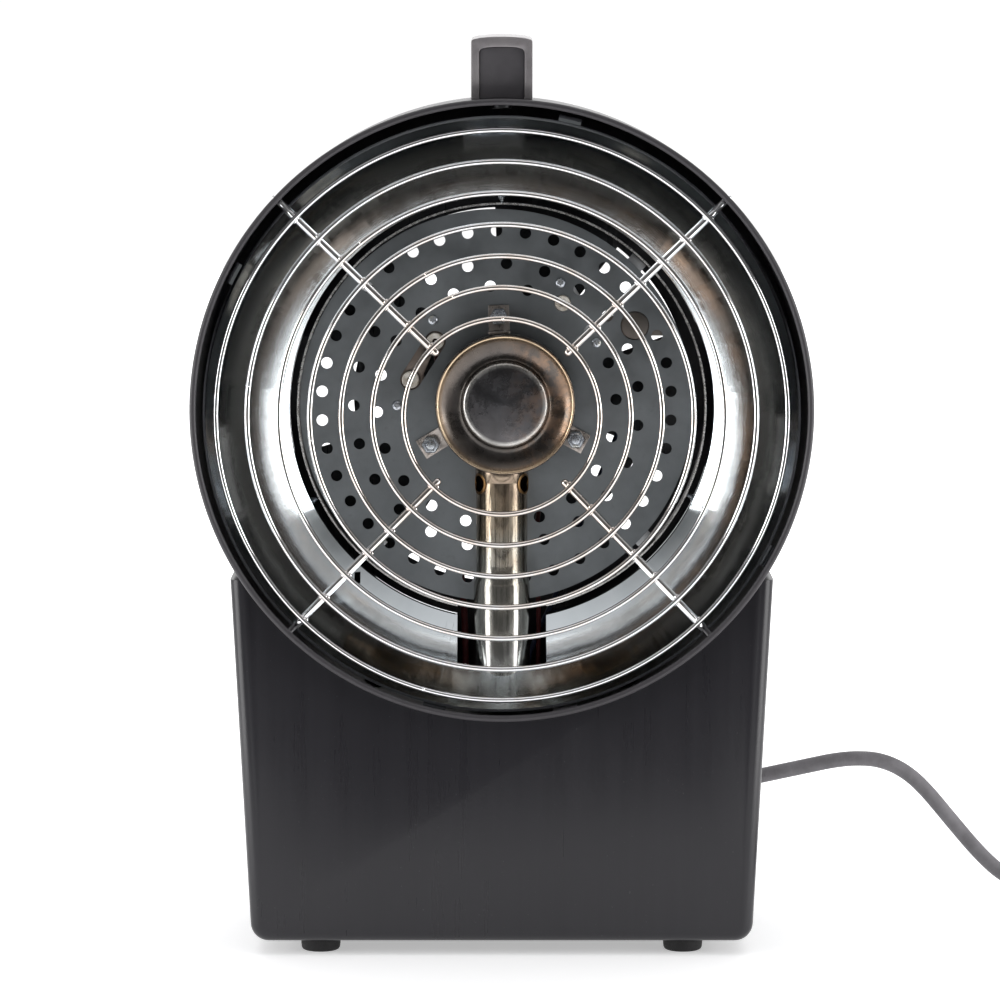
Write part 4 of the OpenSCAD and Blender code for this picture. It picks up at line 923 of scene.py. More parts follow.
def makeReflector():
    rim = [(dish["rimR"] + 0.0009, dish["rimDepth"] + 0.0009),
           (dish["rimR"] + 0.0008, dish["rimDepth"] + 0.0002)]
    cone = [dishPoint(i / dish["rows"]) for i in range(dish["rows"] + 1)]
    neck = [(dish["neckR"] - 0.0002, dish["neckDepth"] + 0.0008),
            (dish["neckR"] - 0.0002, dish["neckDepth"] + dish["neckLength"])]
    shell = lathe("reflectorCone", rim + cone + neck, mirror, dishCentre, steps=dish["steps"], closed=False)
    thicken(shell, dish["wall"], 30)
    half = drum["slotHalf"]
    opening = boxPiece("opening", (-half, lipY + 0.031, dishZ - 0.135), (half, lipY + 0.07, dishZ - 0.07))
    spot = place(dish["slotClock"], 0.0985, 0.0455, dishZ)
    keyhole = boxPiece("keyhole", spot - Vector((0.0013, 0.006, 0.0024)), spot + Vector((0.0013, 0.006, 0.0024)))
    notch = lathe("notch", [(0, 0.09), (0.0127, 0.09), (0.0127, 0.165), (0, 0.165)], None,
                  (0, lipY + 0.042, 0), (0, 0, 1), 64, False)
    cut(shell, [opening, keyhole, notch])
    return shell


def sheetStrip(name, profile, clock, width, wall, material, z=dishZ):
    # a bent strip: profile is (radius, depth), and the strip is as wide as width round the clock
    verts, faces = [], []
    for radius, depth in profile:
        turn = math.degrees(width / 2 / radius)
        for k in (-1, -0.33, 0.33, 1):
            verts.append(place(clock + turn * k, radius, depth, z))
    for i in range(len(profile) - 1):
        for k in range(3):
            a = 4 * i + k
            faces.append((a, a + 1, a + 5, a + 4))
    strip = meshPiece(name, verts, faces, material, outward=False)
    thicken(strip, wall)
    return soften(strip, wall * 0.25, 1)


def makeTabs():
    reach = drumR - drum["wall"] - 0.0004
    pieces = []
    for i, clock in enumerate(dish["tabs"]):
        pieces.append(sheetStrip(f"tab{i}", [
            (dish["rimR"] - 0.0002, dish["rimDepth"] + 0.0008), (reach - 0.0024, dish["rimDepth"] + 0.0008),
            (reach - 0.0014, dish["rimDepth"] + 0.0016), (reach - 0.0012, dish["rimDepth"] + 0.0095)],
            clock, dish["tabWidth"], dish["wall"], mirror))
    return join("reflectorTabs", pieces)


def makeDishSeam():  # where the ends of the reflector's sheet overlap
    inset = 0.0004
    profile = []
    for i in range(1, 12):
        radius, depth = dishPoint(i / 12)
        profile.append((radius - inset * 0.74, depth - inset * 0.67))
    return sheetStrip("reflectorSeam", profile, dish["seamClock"], 0.0032, 0.0003, mirror)


settle(makeReflector(), "mirror_steel", "reflector_cone")
settle(makeTabs(), "mirror_steel")
settle(makeDishSeam(), "mirror_steel")
rivetShape = lathe("rivet", [(0, 0.0009), (0.0011, 0.00085), (0.0019, 0.0005), (0.0023, 0), (0, 0)], zinc,
                   (0, 0, 0), (0, 0, 1), 24, False)
rivetSpots = []
for clock in dish["tabs"]:
    rivetSpots.append((place(clock, drumR - drum["wall"] - 0.0015, dish["rimDepth"] + 0.006),
                       -place(clock, 1, -lipY, 0)))
settle(stamp("reflectorRivets", rivetShape, rivetSpots, blackened), "zinc", "reflector_rivets")
print("reflector done")


# ---------- the ring round the plate ----------

chamber = {"innerR": 0.0899, "wall": 0.001, "front": 0.054, "length": 0.008}


def makeChamberRing():
    inner, outer = chamber["innerR"], chamber["innerR"] + chamber["wall"]
    front, back = chamber["front"], chamber["front"] + chamber["length"]
    ring = lathe("chamberRing", [
        (inner, front + 0.0002), (inner + 0.0002, front), (outer - 0.0002, front), (outer, front + 0.0002),
        (outer, back), (inner, back)], soot, dishCentre, steps=240)
    half = drum["slotHalf"]
    cut(ring, [boxPiece("notch", (-half, lipY + 0.04, dishZ - 0.11), (half, lipY + 0.08, dishZ - 0.07))])
    # the front face, turned to the camera, gets the bright edge colour: bare steel with a painted highlight
    ring.data.materials.append(bareEdgeHighlight)
    for polygon in ring.data.polygons:
        if polygon.normal.y < -0.5:
            polygon.material_index = 1
    return ring


def makeThreadTip():  # point of a sheet-metal screw, its tip at z = 0
    profile = [(0, 0)]
    pitch = 0.0009
    for i in range(9):
        body = min(0.0005 + i * 0.0004, 0.0016)
        root = body * 0.72
        profile += [(root, i * pitch + 0.0002), (body, i * pitch + 0.00055), (root, i * pitch + 0.0009)]
    return lathe("threadTip", profile + [(0, 9 * pitch)], zinc, (0, 0, 0), (0, 0, 1), 24, False)


def makeChamberScrews():
    tips, heads = [], []
    for low, high in solids("chamber_screws"):
        middle = (low + high) / 2
        outward = Vector((middle.x, 0, middle.z - dishZ)).normalized()
        spot = Vector((0, middle.y, dishZ))
        tips.append((spot + outward * (chamber["innerR"] + 0.0003), outward))
        heads.append((spot + outward * (dish["neckR"] + 0.0008), outward))
    return join("chamberScrews", [stamp("screwTips", makeThreadTip(), tips, zinc),
                                  stamp("screwHeads", crossHead(0.0032, 0.0019), heads, zinc)])


settle(makeChamberRing(), "heat_black", "chamber_ring")
settle(makeChamberScrews(), "zinc", "chamber_screws")
refine("plate_straps", innerSteel, "plain_steel", 0.0001)


# ---------- perforated plate ----------

plate = {
    "depth": 0.058, "wall": 0.0008, "x": -0.0023, "drop": 0.0016, "holeR": 0.00255,
    "circles": [(0.0777, 38, 0), (0.0633, 23, 4), (0.0531, 20, 15)],  # radius, holes, start
    "pilot": ((-0.0295, 0.027), (-0.0405, 0.010)), "pilotR": 0.0047,
    "sensor": (0.027, 0.044), "sensorR": 0.0039, "thermostat": (0.059, 0.034), "thermostatR": 0.0064,
    "screws": [(-0.0305, 0.0365), (-0.0465, -0.0015), (0.026, 0.053), (0.042, 0.0265)],
    "lugClock": -2, "lugR": 0.0372,
}
plateR = (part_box("perforated_plate")[1].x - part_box("perforated_plate")[0].x) / 2


def lugSpots():  # where the three burner tabs stand, from the drum's centre
    spots = []
    for i in range(3):
        a = math.radians(plate["lugClock"] + 120 * i)
        spots.append(Vector((plate["lugR"] * math.sin(a), capCentre.z - headZ + plate["lugR"] * math.cos(a))))
    return spots


def plateHoles():  # centre and radius of every round hole that stays clear of what the plate carries
    spark, flame = (Vector(p) for p in plate["pilot"])
    sensor, thermostat = Vector(plate["sensor"]), Vector(plate["thermostat"])
    clear = [(spark, 0.008), (flame, 0.008), ((spark + flame) / 2, 0.009), (sensor, 0.007), (thermostat, 0.01)]
    clear += [(Vector(p), 0.0055) for p in plate["screws"]] + [(p, 0.008) for p in lugSpots()]
    holes = [(sensor, plate["sensorR"]), (thermostat, plate["thermostatR"])]
    for radius, count, start in plate["circles"]:
        for i in range(count):
            a = math.radians(start + 360 * i / count)
            spot = Vector((plate["x"] + radius * math.sin(a), radius * math.cos(a) - plate["drop"]))
            if all((spot - other).length > reach for other, reach in clear):
                holes.append((spot, plate["holeR"]))
    return holes


def makePlateTree():  # circles at the points and any closed outline are punched out of a disc
    tree, start, end = newTree("perforations", [
        ("Disc Radius", "Float"), ("Disc Centre", "Vector"), ("Finish", "Material")])
    size = step(tree, "GeometryNodeInputNamedAttribute", {"Name": "holeRadius"}, data_type="FLOAT").outputs[0]
    isHole = step(tree, "FunctionNodeCompare", {"A": size, "B": 0.0001}, data_type="FLOAT",
                  operation="GREATER_THAN").outputs[0]
    cloud = step(tree, "GeometryNodeMeshToPoints", {"Mesh": start["Geometry"], "Selection": isHole})
    ring = step(tree, "GeometryNodeCurvePrimitiveCircle", {"Resolution": 28, "Radius": 1.0})
    rings = step(tree, "GeometryNodeInstanceOnPoints", {
        "Points": cloud.outputs[0], "Instance": ring.outputs[0], "Scale": size})
    punched = step(tree, "GeometryNodeRealizeInstances", {"Geometry": rings.outputs[0]})
    outline = step(tree, "GeometryNodeMeshToCurve", {"Mesh": start["Geometry"]})
    rim = step(tree, "GeometryNodeCurvePrimitiveCircle", {"Resolution": 240, "Radius": start["Disc Radius"]})
    moved = step(tree, "GeometryNodeTransform", {
        "Geometry": rim.outputs[0], "Translation": start["Disc Centre"]})
    together = step(tree, "GeometryNodeJoinGeometry")
    for part in (punched, outline, moved):
        tree.links.new(part.outputs[0], together.inputs[0])
    filled = step(tree, "GeometryNodeFillCurve", {"Curve": together.outputs[0]})
    upright = step(tree, "GeometryNodeTransform", {
        "Geometry": filled.outputs[0], "Rotation": (math.pi / 2, 0, 0)})
    return finishTree(tree, start, end, upright.outputs[0])


def makePlate():
    holes = plateHoles()
    points = [Vector((p.x, p.y, 0)) for p, r in holes]
    sizes = [r for p, r in holes]
    spark, flame = (Vector(p) for p in plate["pilot"])
    along = math.atan2(spark.y - flame.y, spark.x - flame.x)
    first = len(points)
    for centre, start in ((spark, -90), (flame, 90)):  # the long opening for the pilot
        for i in range(13):
            a = along + math.radians(start + 15 * i)
            points.append(Vector((
                centre.x + plate["pilotR"] * math.cos(a), centre.y + plate["pilotR"] * math.sin(a), 0)))
            sizes.append(0.0)
    count = len(points) - first
    edges = [(first + i, first + (i + 1) % count) for i in range(count)]
    disc = grow("perforatedPlate", makePlateTree(), {
        "Disc Radius": plateR, "Disc Centre": (plate["x"], -plate["drop"], 0), "Finish": plateSteel},
        points, edges, {"holeRadius": sizes})
    shift = Matrix.Translation((0, lipY + plate["depth"] + plate["wall"] / 2, headZ))
    disc.data.transform(shift)
    weld = bmesh.new()
    weld.from_mesh(disc.data)
    bmesh.ops.remove_doubles(weld, verts=weld.verts, dist=1e-6)
    weld.to_mesh(disc.data)
    weld.free()
    return thicken(disc, plate["wall"])


settle(makePlate(), "plain_steel", "perforated_plate")
screwLow, screwHigh = solids("plate_screws")[0]
screwHeads("plateScrewHeads", "plate_screws", -1, (screwHigh.x - screwLow.x) / 2, 0.0014)
print("plate done")


# ---------- pilot, sensors and their leads ----------

insulator = {"electrode": 0.0039, "sensor": 0.0035}  # radii of the glazed part


def makeInsulator(name, node, radius):  # a glazed tube with a shoulder behind the plate and a wire tip
    low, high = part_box(node)
    centre = middleAt(low, high, low.y)
    length = high.y - low.y
    collar = (high.x - low.x) / 2
    step1 = plate["depth"] + plate["wall"] + 0.0014 - (low.y - lipY)
    body = lathe(name, [
        (0.0012, 0.0022), (0.0014, 0.0004), (radius - 0.0006, 0), (radius - 0.00015, 0.0002), (radius, 0.0007),
        (radius, step1), (collar - 0.0003, step1), (collar, step1 + 0.0003), (collar, length - 0.0005),
        (collar - 0.0006, length), (0, length)], ceramic, centre, steps=40, closed=False)
    # the bore's near-black plug is painted shade at the bottom of the hole
    bore = lathe(name + "Bore", [(0, 0.0024), (0.0013, 0.002), (0.0013, 0.0026), (0, 0.0028)], boreShadePlug, centre,
                 steps=20, closed=False)
    pin = lathe(name + "Pin", [(0, -0.0006), (0.0006, -0.0004), (0.0006, 0.003), (0, 0.003)], tabSteel, centre,
                steps=16, closed=False)
    return settle(join(name, [body, bore, pin]), "ceramic", node)


leads = {  # x, depth behind the lip and z from the drum's centre, in mm
    "spark": [(-29.5, 77.1, 27), (-29.5, 81, 27), (-29, 86, 18), (-24, 86, -20), (-20, 80, -60), (-17, 68, -92),
              (-16.2, 58.6, -112), (-16, 57.6, -134), (-14, 62, -144), (-6, 76, -150), (0, 88, -158),
              (0, 94.8, -158)],
    "red": [(27, 73, 44), (27.2, 76.5, 43.6), (27.5, 80, 34), (27, 80, 10), (20, 78, -30), (16, 74, -56),
            (16.4, 64, -92), (16.4, 58, -112), (16, 57.6, -134), (20, 60, -160), (34, 62, -186), (48, 62, -202),
            (50, 62, -209.3), (50, 62, -216.2)],
    "blue": [(59, 69, 34), (59.2, 72.5, 33.6), (60, 77, 24), (54, 82, -10), (38, 84, -50), (26, 76, -84),
             (12.8, 58.6, -112), (12.4, 58.2, -134), (20, 68, -156), (38, 70, -184), (53, 70, -202),
             (54, 70, -209.3), (54, 70, -216.2)],
}


def makeLead(name, key, radius, material):
    route = [Vector((x, 0, z)) * 0.001 + Vector((0, lipY + d * 0.001, headZ)) for x, d, z in leads[key]]
    return sweep(name, smoothPath(route, 4), radius, material, sides=10)


makeInsulator("sparkElectrode", "spark_electrode", insulator["electrode"])
makeInsulator("flameElectrode", "flame_electrode", insulator["electrode"])
makeInsulator("flameSensor", "flame_sensor", insulator["sensor"])
refine("pilot_bracket", bracketSteel, "tinted_steel", 0.0001)
refine("sensor_bracket", innerSteel, "plain_steel", 0.0001)
refine("overheat_thermostat", bracketSteel, "tinted_steel", 0.0003)
settle(makeLead("ignitionLead", "spark", 0.0015, redWire), "wire_red", "ignition_lead")
settle(join("sensorWires", [
    makeLead("redLead", "red", 0.0011, redWire), makeLead("blueLead", "blue", 0.0011, blueWire)]),
       "wire_red", "sensor_wires")
print("pilot done")


# ---------- burner and mixing tube ----------

cap = [  # radius short of the cap's own, and height behind its front; the outside, then the inside
    (capR, 0), (13.6e-3, 0.0001), (12.6e-3, 0.0003), (12.0e-3, 0.0011), (11.7e-3, 0.0026), (11.3e-3, 0.0034),
    (10.6e-3, 0.0039), (9.2e-3, 0.004), (7.0e-3, 0.0037), (4.7e-3, 0.003), (2.6e-3, 0.0018), (1.5e-3, 0.0009),
    (1.0e-3, 0.00035), (0.6e-3, 0.0003), (0.25e-3, 0.0005), (0, 0.001), (0, 0.005), (1.0e-3, 0.005),
    (1.0e-3, 0.0024), (4.5e-3, 0.0041), (9.3e-3, 0.00515), (12.2e-3, 0.0046), (13.1e-3, 0.0022), (capR, 0.0013)]
tube = {
    "r": 0.01135, "lowR": 0.0124, "wall": 0.0008, "depth": 0.042, "flareZ": 0.165, "topZ": 0.2135,
    "portZ": 0.2057, "portTurn": 60.5, "portR": 0.0036, "collarZ": 0.2062,
}


def makeCap():
    profile = [(capR - short, back) for short, back in cap]
    return lathe("burnerCap", profile, capSteel, capCentre, steps=144, closed=False, sharpAngle=60)


def makeTube():
    centre = (0, lipY + tube["depth"], 0)
    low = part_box("mixing_tube")[0].z
    outer = [(tube["lowR"], low), (tube["lowR"], tube["flareZ"] - 0.0042),
             (tube["lowR"] - 0.0002, tube["flareZ"] - 0.0035),
             (tube["r"] + 0.0002, tube["flareZ"] - 0.0005), (tube["r"], tube["flareZ"])]
    steps = 10
    rise = tube["topZ"] - tube["flareZ"]
    outer += [(tube["r"], tube["flareZ"] + rise * i / steps) for i in range(1, steps + 1)]
    inner = [(r - tube["wall"], z) for r, z in reversed(outer)]
    pipe = lathe("mixingTube", outer + inner, tubeSteel, centre, (0, 0, 1), 96)
    cut(pipe, [boxPiece("airPort", (-0.02, lipY + tube["depth"] - 0.004, low + 0.006),
                        (0.02, lipY + tube["depth"] + 0.004, low + 0.015))])
    sleeve = tube["r"] + 0.0004
    collar = lathe("collar", [
        (tube["r"] - 0.0001, tube["collarZ"]), (sleeve - 0.0001, tube["collarZ"]),
        (sleeve, tube["collarZ"] + 0.0002),
        (sleeve, tube["topZ"]), (tube["r"] - 0.0001, tube["topZ"])], tubeSteel, centre, (0, 0, 1), 96)
    sides = [Vector((side * math.sin(math.radians(tube["portTurn"])), -math.cos(math.radians(tube["portTurn"])), 0))
             for side in (-1, 1)]
    for part in (pipe, collar):
        bits = [lathe("bit", [(0, 0), (tube["portR"], 0), (tube["portR"], 0.01), (0, 0.01)], None,
                      Vector(centre) + aim * 0.007 + Vector((0, 0, tube["portZ"])), aim, 32, False) for aim in sides]
        bits.append(lathe("capSpace", [(0, 0), (capR + 0.0001, 0), (capR + 0.0001, 0.0331), (0, 0.0331)], None,
                          (capCentre.x, lipY, capCentre.z), steps=96, closed=False))
        cut(part, bits)
    rims = []
    for i, aim in enumerate(sides):  # a burnt ring that lies on the tube round each hole
        turn0 = math.atan2(aim.y, aim.x)
        verts, faces = [], []
        count = 32
        rows = [(1.0, 0.0001), (1.0, 0.0006), (1.13, 0.0007), (1.3, 0.0005), (1.3, 0.0001)]
        for share, lift in rows:
            for k in range(count):
                a = math.tau * k / count
                r = tube["portR"] * share
                turn = turn0 + r * math.cos(a) / tube["r"]
                out = tube["r"] + lift
                verts.append(Vector(centre) + Vector((out * math.cos(turn), out * math.sin(turn),
                                                      tube["portZ"] + r * math.sin(a))))
        for row in range(len(rows)):
            for k in range(count):
                a, b = row * count, (row + 1) % len(rows) * count
                faces.append((a + k, a + (k + 1) % count, b + (k + 1) % count, b + k))
        rims.append(meshPiece(f"portRim{i}", verts, faces, burntRim, 60))
    return join("mixingTube", [pipe, collar] + rims)


def makeTabNuts():  # nuts with the ends of their screws standing through
    spots = [(middleAt(a, b, b.y), (0, -1, 0)) for a, b in solids("bracket_nuts")]
    nut = lathe("nut", [
        (0.0021, 0), (0.00404, 0), (0.00404, 0.0026), (0.0036, 0.0032), (0.0023, 0.0032), (0.0021, 0.003)],
                zinc, (0, 0, 0), (0, 0, 1), 6, True, 20)
    soften(nut, 0.0001)
    end = lathe("stud", [(0, 0.0044), (0.0013, 0.0044), (0.0019, 0.004), (0.002, 0.0034), (0.002, 0), (0, 0)], zinc,
                (0, 0, 0), (0, 0, 1), 24, False)
    return join("bracketNuts", [stamp("nuts", nut, spots, zinc), stamp("studs", end, spots, zinc)])


settle(makeCap(), "tinted_steel", "burner_cap")
settle(makeTube(), "plain_steel", "mixing_tube")
refine("burner_ports", burnerSteel, "tinted_steel", 0.0001)
refine("burner_body", burnerSteel, "tinted_steel", 0.00015)
refine("burner_brackets", tabSteel, "tinted_steel", 0.0003)
settle(makeTabNuts(), "zinc", "bracket_nuts")
refine("bracket_screws", zinc, "zinc", 0.0003)
print("burner done")


# ---------- guard ----------

guard = {
    "rings": 7, "pitch": 0.01355, "wire": 0.0012, "depth": 0.005, "spokeWire": 0.0017,
    "spokes": (46, 136.5, 224.5, 314), "spokeDepth": 0.00775, "hookDepth": 0.0097,
    "joints": (196, 277, 321, 263, 332, 338, 0.6),
}
outerRing = (ringHigh.x - ringLow.x) / 2 - guard["wire"]


def makeGuardTree():  # rings one inside the other, each a wire of the same thickness
    tree, start, end = newTree("guard", [
        ("Rings", "Int"), ("Outer Radius", "Float"), ("Pitch", "Float"), ("Wire Radius", "Float"),
        ("Centre", "Vector"), ("Finish", "Material")])
    cloud = step(tree, "GeometryNodePoints", {"Count": start["Rings"]})
    index = step(tree, "GeometryNodeInputIndex").outputs[0]
    smaller = calc(tree, "MULTIPLY", index, start["Pitch"])
    radius = calc(tree, "SUBTRACT", start["Outer Radius"], smaller)
    ring = step(tree, "GeometryNodeCurvePrimitiveCircle", {"Resolution": 180, "Radius": 1.0})
    rings = step(tree, "GeometryNodeInstanceOnPoints", {
        "Points": cloud.outputs[0], "Instance": ring.outputs[0], "Scale": radius})
    upright = step(tree, "GeometryNodeTransform", {
        "Geometry": rings.outputs[0], "Rotation": (math.pi / 2, 0, 0), "Translation": start["Centre"]})
    wires = step(tree, "GeometryNodeRealizeInstances", {"Geometry": upright.outputs[0]})
    section = step(tree, "GeometryNodeCurvePrimitiveCircle", {"Resolution": 14, "Radius": start["Wire Radius"]})
    solid = step(tree, "GeometryNodeCurveToMesh", {
        "Curve": wires.outputs[0], "Profile Curve": section.outputs[0], "Fill Caps": False})
    return finishTree(tree, start, end, solid.outputs[0])


def makeSpokes():  # straight across the rings, back past the rim, and hooked into the drum
    inner = outerRing - (guard["rings"] - 1) * guard["pitch"] - 0.0027
    pieces = []
    for i, clock in enumerate(guard["spokes"]):
        reach = drumR - 0.0006 + (headZ - dishZ) * math.cos(math.radians(clock))
        bend = [(dish["rimR"] - 0.0055, 0), (dish["rimR"] - 0.0032, 0.0003), (dish["rimR"] - 0.0012, 0.001),
                (dish["rimR"] + 0.0008, 0.0017), (dish["rimR"] + 0.003, 0.00195)]
        line = [place(clock, inner, guard["spokeDepth"], dishZ)]
        line += [place(clock, r, guard["spokeDepth"] + d, dishZ) for r, d in bend]
        line.append(place(clock, reach, guard["hookDepth"], dishZ))
        pieces.append(sweep(f"spoke{i}", line, guard["spokeWire"], chrome, 16,
                            [(0.94, 0.3), (0.72, 0.6), (0.3, 0.85)]))
    return join("guardSpokes", pieces)


def makeWelds():  # the small flattened bead where a ring crosses a spoke
    bead = lathe("bead", [(0, 0.0006), (0.0009, 0.0005), (0.0015, 0.0002), (0.0016, -0.0003), (0, -0.0008)], chrome,
                 (0, 0, 0), (0, 0, 1), 16, False, 80)
    spots = []
    for clock in guard["spokes"]:
        for i in range(guard["rings"]):
            radius = outerRing - i * guard["pitch"]
            for side in (-1, 1):
                turn = math.degrees(side * 0.0011 / radius)
                spot = place(clock + turn, radius + side * 0.0004, guard["depth"] + 0.0012, dishZ)
                spots.append((spot, (0, -1, 0)))
    return stamp("guardWelds", bead, spots, chrome, 80)


def makeJoints():  # the seam where each ring's wire was welded shut
    wire = guard["wire"]
    seam = lathe("seam", [(wire * 0.9, -0.0005), (wire + 0.00012, -0.0004), (wire + 0.0002, 0),
                          (wire + 0.00012, 0.0004),
                          (wire * 0.9, 0.0005)], chrome, (0, 0, 0), (0, 0, 1), 20)
    spots = []
    for i, clock in enumerate(guard["joints"]):
        radius = outerRing - i * guard["pitch"]
        along = place(clock + 90, 1, -lipY, 0)
        spots.append((place(clock, radius, guard["depth"], dishZ), along))
    return stamp("guardJoints", seam, spots, chrome, 60)


guardRings = grow("guardRings", makeGuardTree(), {
    "Rings": guard["rings"], "Outer Radius": outerRing, "Pitch": guard["pitch"], "Wire Radius": guard["wire"],
    "Centre": (0, lipY + guard["depth"], dishZ), "Finish": chrome}, sharpAngle=60)
settle(guardRings, "chrome_wire", "guard_rings")
settle(makeSpokes(), "chrome_wire", "guard_spokes")
settle(makeWelds(), "chrome_wire")
settle(makeJoints(), "chrome_wire")
print("guard done")


# ---------- base ----------

base = {"edge": 0.0055, "edgeSteps": 6, "small": 0.0005}


def makeBody():  # the folded front of the shell gets its broad round edge, all others a small one
    shell = copyNode("body_shell", "bodyShell", bodyPaint)
    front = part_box("body_shell")[0].y
    work = bmesh.new()
    work.from_mesh(shell.data)
    saddle = drumR + 0.0012
    chosen = []
    for edge in work.edges:
        ends = [v.co for v in edge.verts]
        if any(abs(p.y - front) > 1e-5 for p in ends):
            continue
        if any(math.hypot(p.x, p.z - headZ) < saddle for p in ends) and abs(ends[0].z - ends[1].z) > 1e-5:
            continue
        faces = [f.normal for f in edge.link_faces]
        if len(faces) == 2 and faces[0].angle(faces[1]) > 0.6 and min(p.z for p in ends) < 0.1655:
            if all(math.hypot(p.x, p.z - headZ) > saddle for p in ends) or ends[0].z < 0.02:
                chosen.append(edge)
    bmesh.ops.bevel(work, geom=chosen, offset=base["edge"], offset_type="OFFSET", segments=base["edgeSteps"],
                    profile=0.5, affect="EDGES", clamp_overlap=False)
    work.to_mesh(shell.data)
    work.free()
    shade(shell)
    return soften(shell, base["small"], 2, 50)


def makeFeet():
    pieces = []
    for i, (low, high) in enumerate(solids("rubber_feet")):
        r = (high.x - low.x) / 2
        centre = Vector(((low.x + high.x) / 2, (low.y + high.y) / 2, low.z))
        top = high.z - low.z
        profile = [(0.0046, 0.0003), (0.005, 0), (r - 0.0014, 0), (r - 0.0007, 0.0004), (r - 0.0003, 0.0012),
                   (r - 0.0001, 0.003), (r - 0.0001, top - 0.0006), (r - 0.0006, top), (0.0022, top),
                   (0.0022, 0.0036), (0.0046, 0.0036)]
        pieces.append(lathe(f"foot{i}", profile, footRubber, centre, (0, 0, 1), 48))
    return join("rubberFeet", pieces)


settle(makeBody(), "black_paint", "body_shell")
refine("rear_panel", bodyPaint, "black_paint", 0.00035)
screwHeads("panelScrewHeads", "rear_panel_screws", 1, 0.0032, 0.002)
refine("base_plate", innerSteel, "plain_steel", 0.0003)
settle(makeFeet(), "black_rubber", "rubber_feet")
refine("foot_screws", zinc, "zinc", 0.0003)
refine("saddle_bolts", blackened, "zinc", 0.0004)
refine("tilt_switch", casePlastic, "black_plastic", 0.0006)
print("base done")


# ---------- handle ----------

handleLow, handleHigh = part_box("handle_frame")
handle = {
    "cheek": 0.0034, "skin": 0.0044, "post": 0.013, "bar": 0.0095, "crown": 0.0011, "corner": 0.0014,
    "drop": 0.0012, "stations": 36,
}


def archTop(y):  # height of the handle's top over its length
    half = (handleHigh.y - handleLow.y) / 2
    radius = (half ** 2 + handle["drop"] ** 2) / (2 * handle["drop"])
    middle = (handleLow.y + handleHigh.y) / 2
    return handleHigh.z - radius + math.sqrt(radius ** 2 - (y - middle) ** 2)


def section(half, top, corner, crown):  # an upright section with a crowned top and round shoulders
    points = [(-half, 0), (-half, top - crown - corner)]
    for i in range(6):
        a = math.radians(180 - 18 * i)
        points.append((-half + corner + corner * math.cos(a), top - crown - corner + corner * math.sin(a)))
    for i in range(1, 12):
        x = -half + corner + (2 * half - 2 * corner) * i / 12
        points.append((x, top - crown * (x / half) ** 2))
    for i in range(6):
        a = math.radians(90 - 18 * i)
        points.append((half - corner + corner * math.cos(a), top - crown - corner + corner * math.sin(a)))
    return points + [(half, top - crown - corner), (half, 0)]


def archBlock(name, half, drop, corner, crown, inset, material):
    # the section pulled along the arch, down to below the drum's top, before its gap is cut
    verts, faces = [], []
    foot = handleLow.z - 0.004
    count = handle["stations"]
    for i in range(count + 1):
        y = handleLow.y + inset + (handleHigh.y - handleLow.y - 2 * inset) * i / count
        outline = section(half, archTop(y) - drop - foot, corner, crown)
        verts += [(x, y, foot + z) for x, z in outline]
    width = len(outline)
    for i in range(count):
        for j in range(width):
            k = (j + 1) % width
            faces.append((i * width + j, i * width + k, (i + 1) * width + k, (i + 1) * width + j))
    faces += [tuple(range(width)), tuple(range(count * width, (count + 1) * width))]
    return meshPiece(name, verts, faces, material)


def drumCutter(gap=0.0001):
    return lathe("drumCutter", [(0, -0.02), (drumR + gap, -0.02), (drumR + gap, 0.2), (0, 0.2)], None, headCentre,
                 steps=360, closed=False)


def gapCutter():
    verts, faces = [], []
    count = 24
    y0, y1 = handleLow.y + handle["post"], handleHigh.y - handle["post"]
    low = handleLow.z - 0.02
    for i in range(count + 1):
        y = y0 + (y1 - y0) * i / count
        top = archTop(y) - handle["bar"]
        round1 = 0.0025 * max(0, 1 - min(y - y0, y1 - y) / 0.0025) ** 2  # rounded upper corners
        for x in (-0.03, 0.03):
            verts += [(x, y, low), (x, y, top - round1)]
    for i in range(count):
        a, b = 4 * i, 4 * (i + 1)
        faces += blockWalls(a, b)
    faces += [(0, 2, 3, 1), (4 * count, 4 * count + 1, 4 * count + 3, 4 * count + 2)]
    return meshPiece("gapCutter", verts, faces, None)


def makeHandle():
    half = (handleHigh.x - handleLow.x) / 2
    frameBlock = archBlock("handleFrame", half, 0, handle["corner"], handle["crown"], 0, silverPaint)
    core = archBlock("coreCutter", half - handle["cheek"], handle["skin"], 0.0022, 0.0006, -0.002, silverPaint)
    cut(frameBlock, [core, gapCutter(), drumCutter()])
    soften(frameBlock, 0.00045, 2, 45)
    grip = archBlock("handleGrip", half - handle["cheek"] - 0.0001, handle["skin"] + 0.0001, 0.0021, 0.0006, 0.0008,
                     gripPlastic)
    cut(grip, [gapCutter(), drumCutter()])
    return frameBlock, soften(grip, 0.0007, 3, 45)


handleFrame, handleGrip = makeHandle()
settle(handleFrame, "silver_paint", "handle_frame")
settle(handleGrip, "black_plastic", "handle_grip")
refine("handle_bolts", blackened, "zinc", 0.0004)
print("handle done")


# ---------- controls on the rear panel ----------

dial = {
    "marks": 11, "sweep": 240, "tick": (0.0252, 0.0272), "tickHalfTurn": 1.1, "lift": 0.00012,
    "wedgeR": 0.0222, "wedgeParts": 30, "wedgeFrom": 60, "wedgeTurn": 6, "wedgeThin": 0.0002, "wedgeGrow": 0.0018,
}


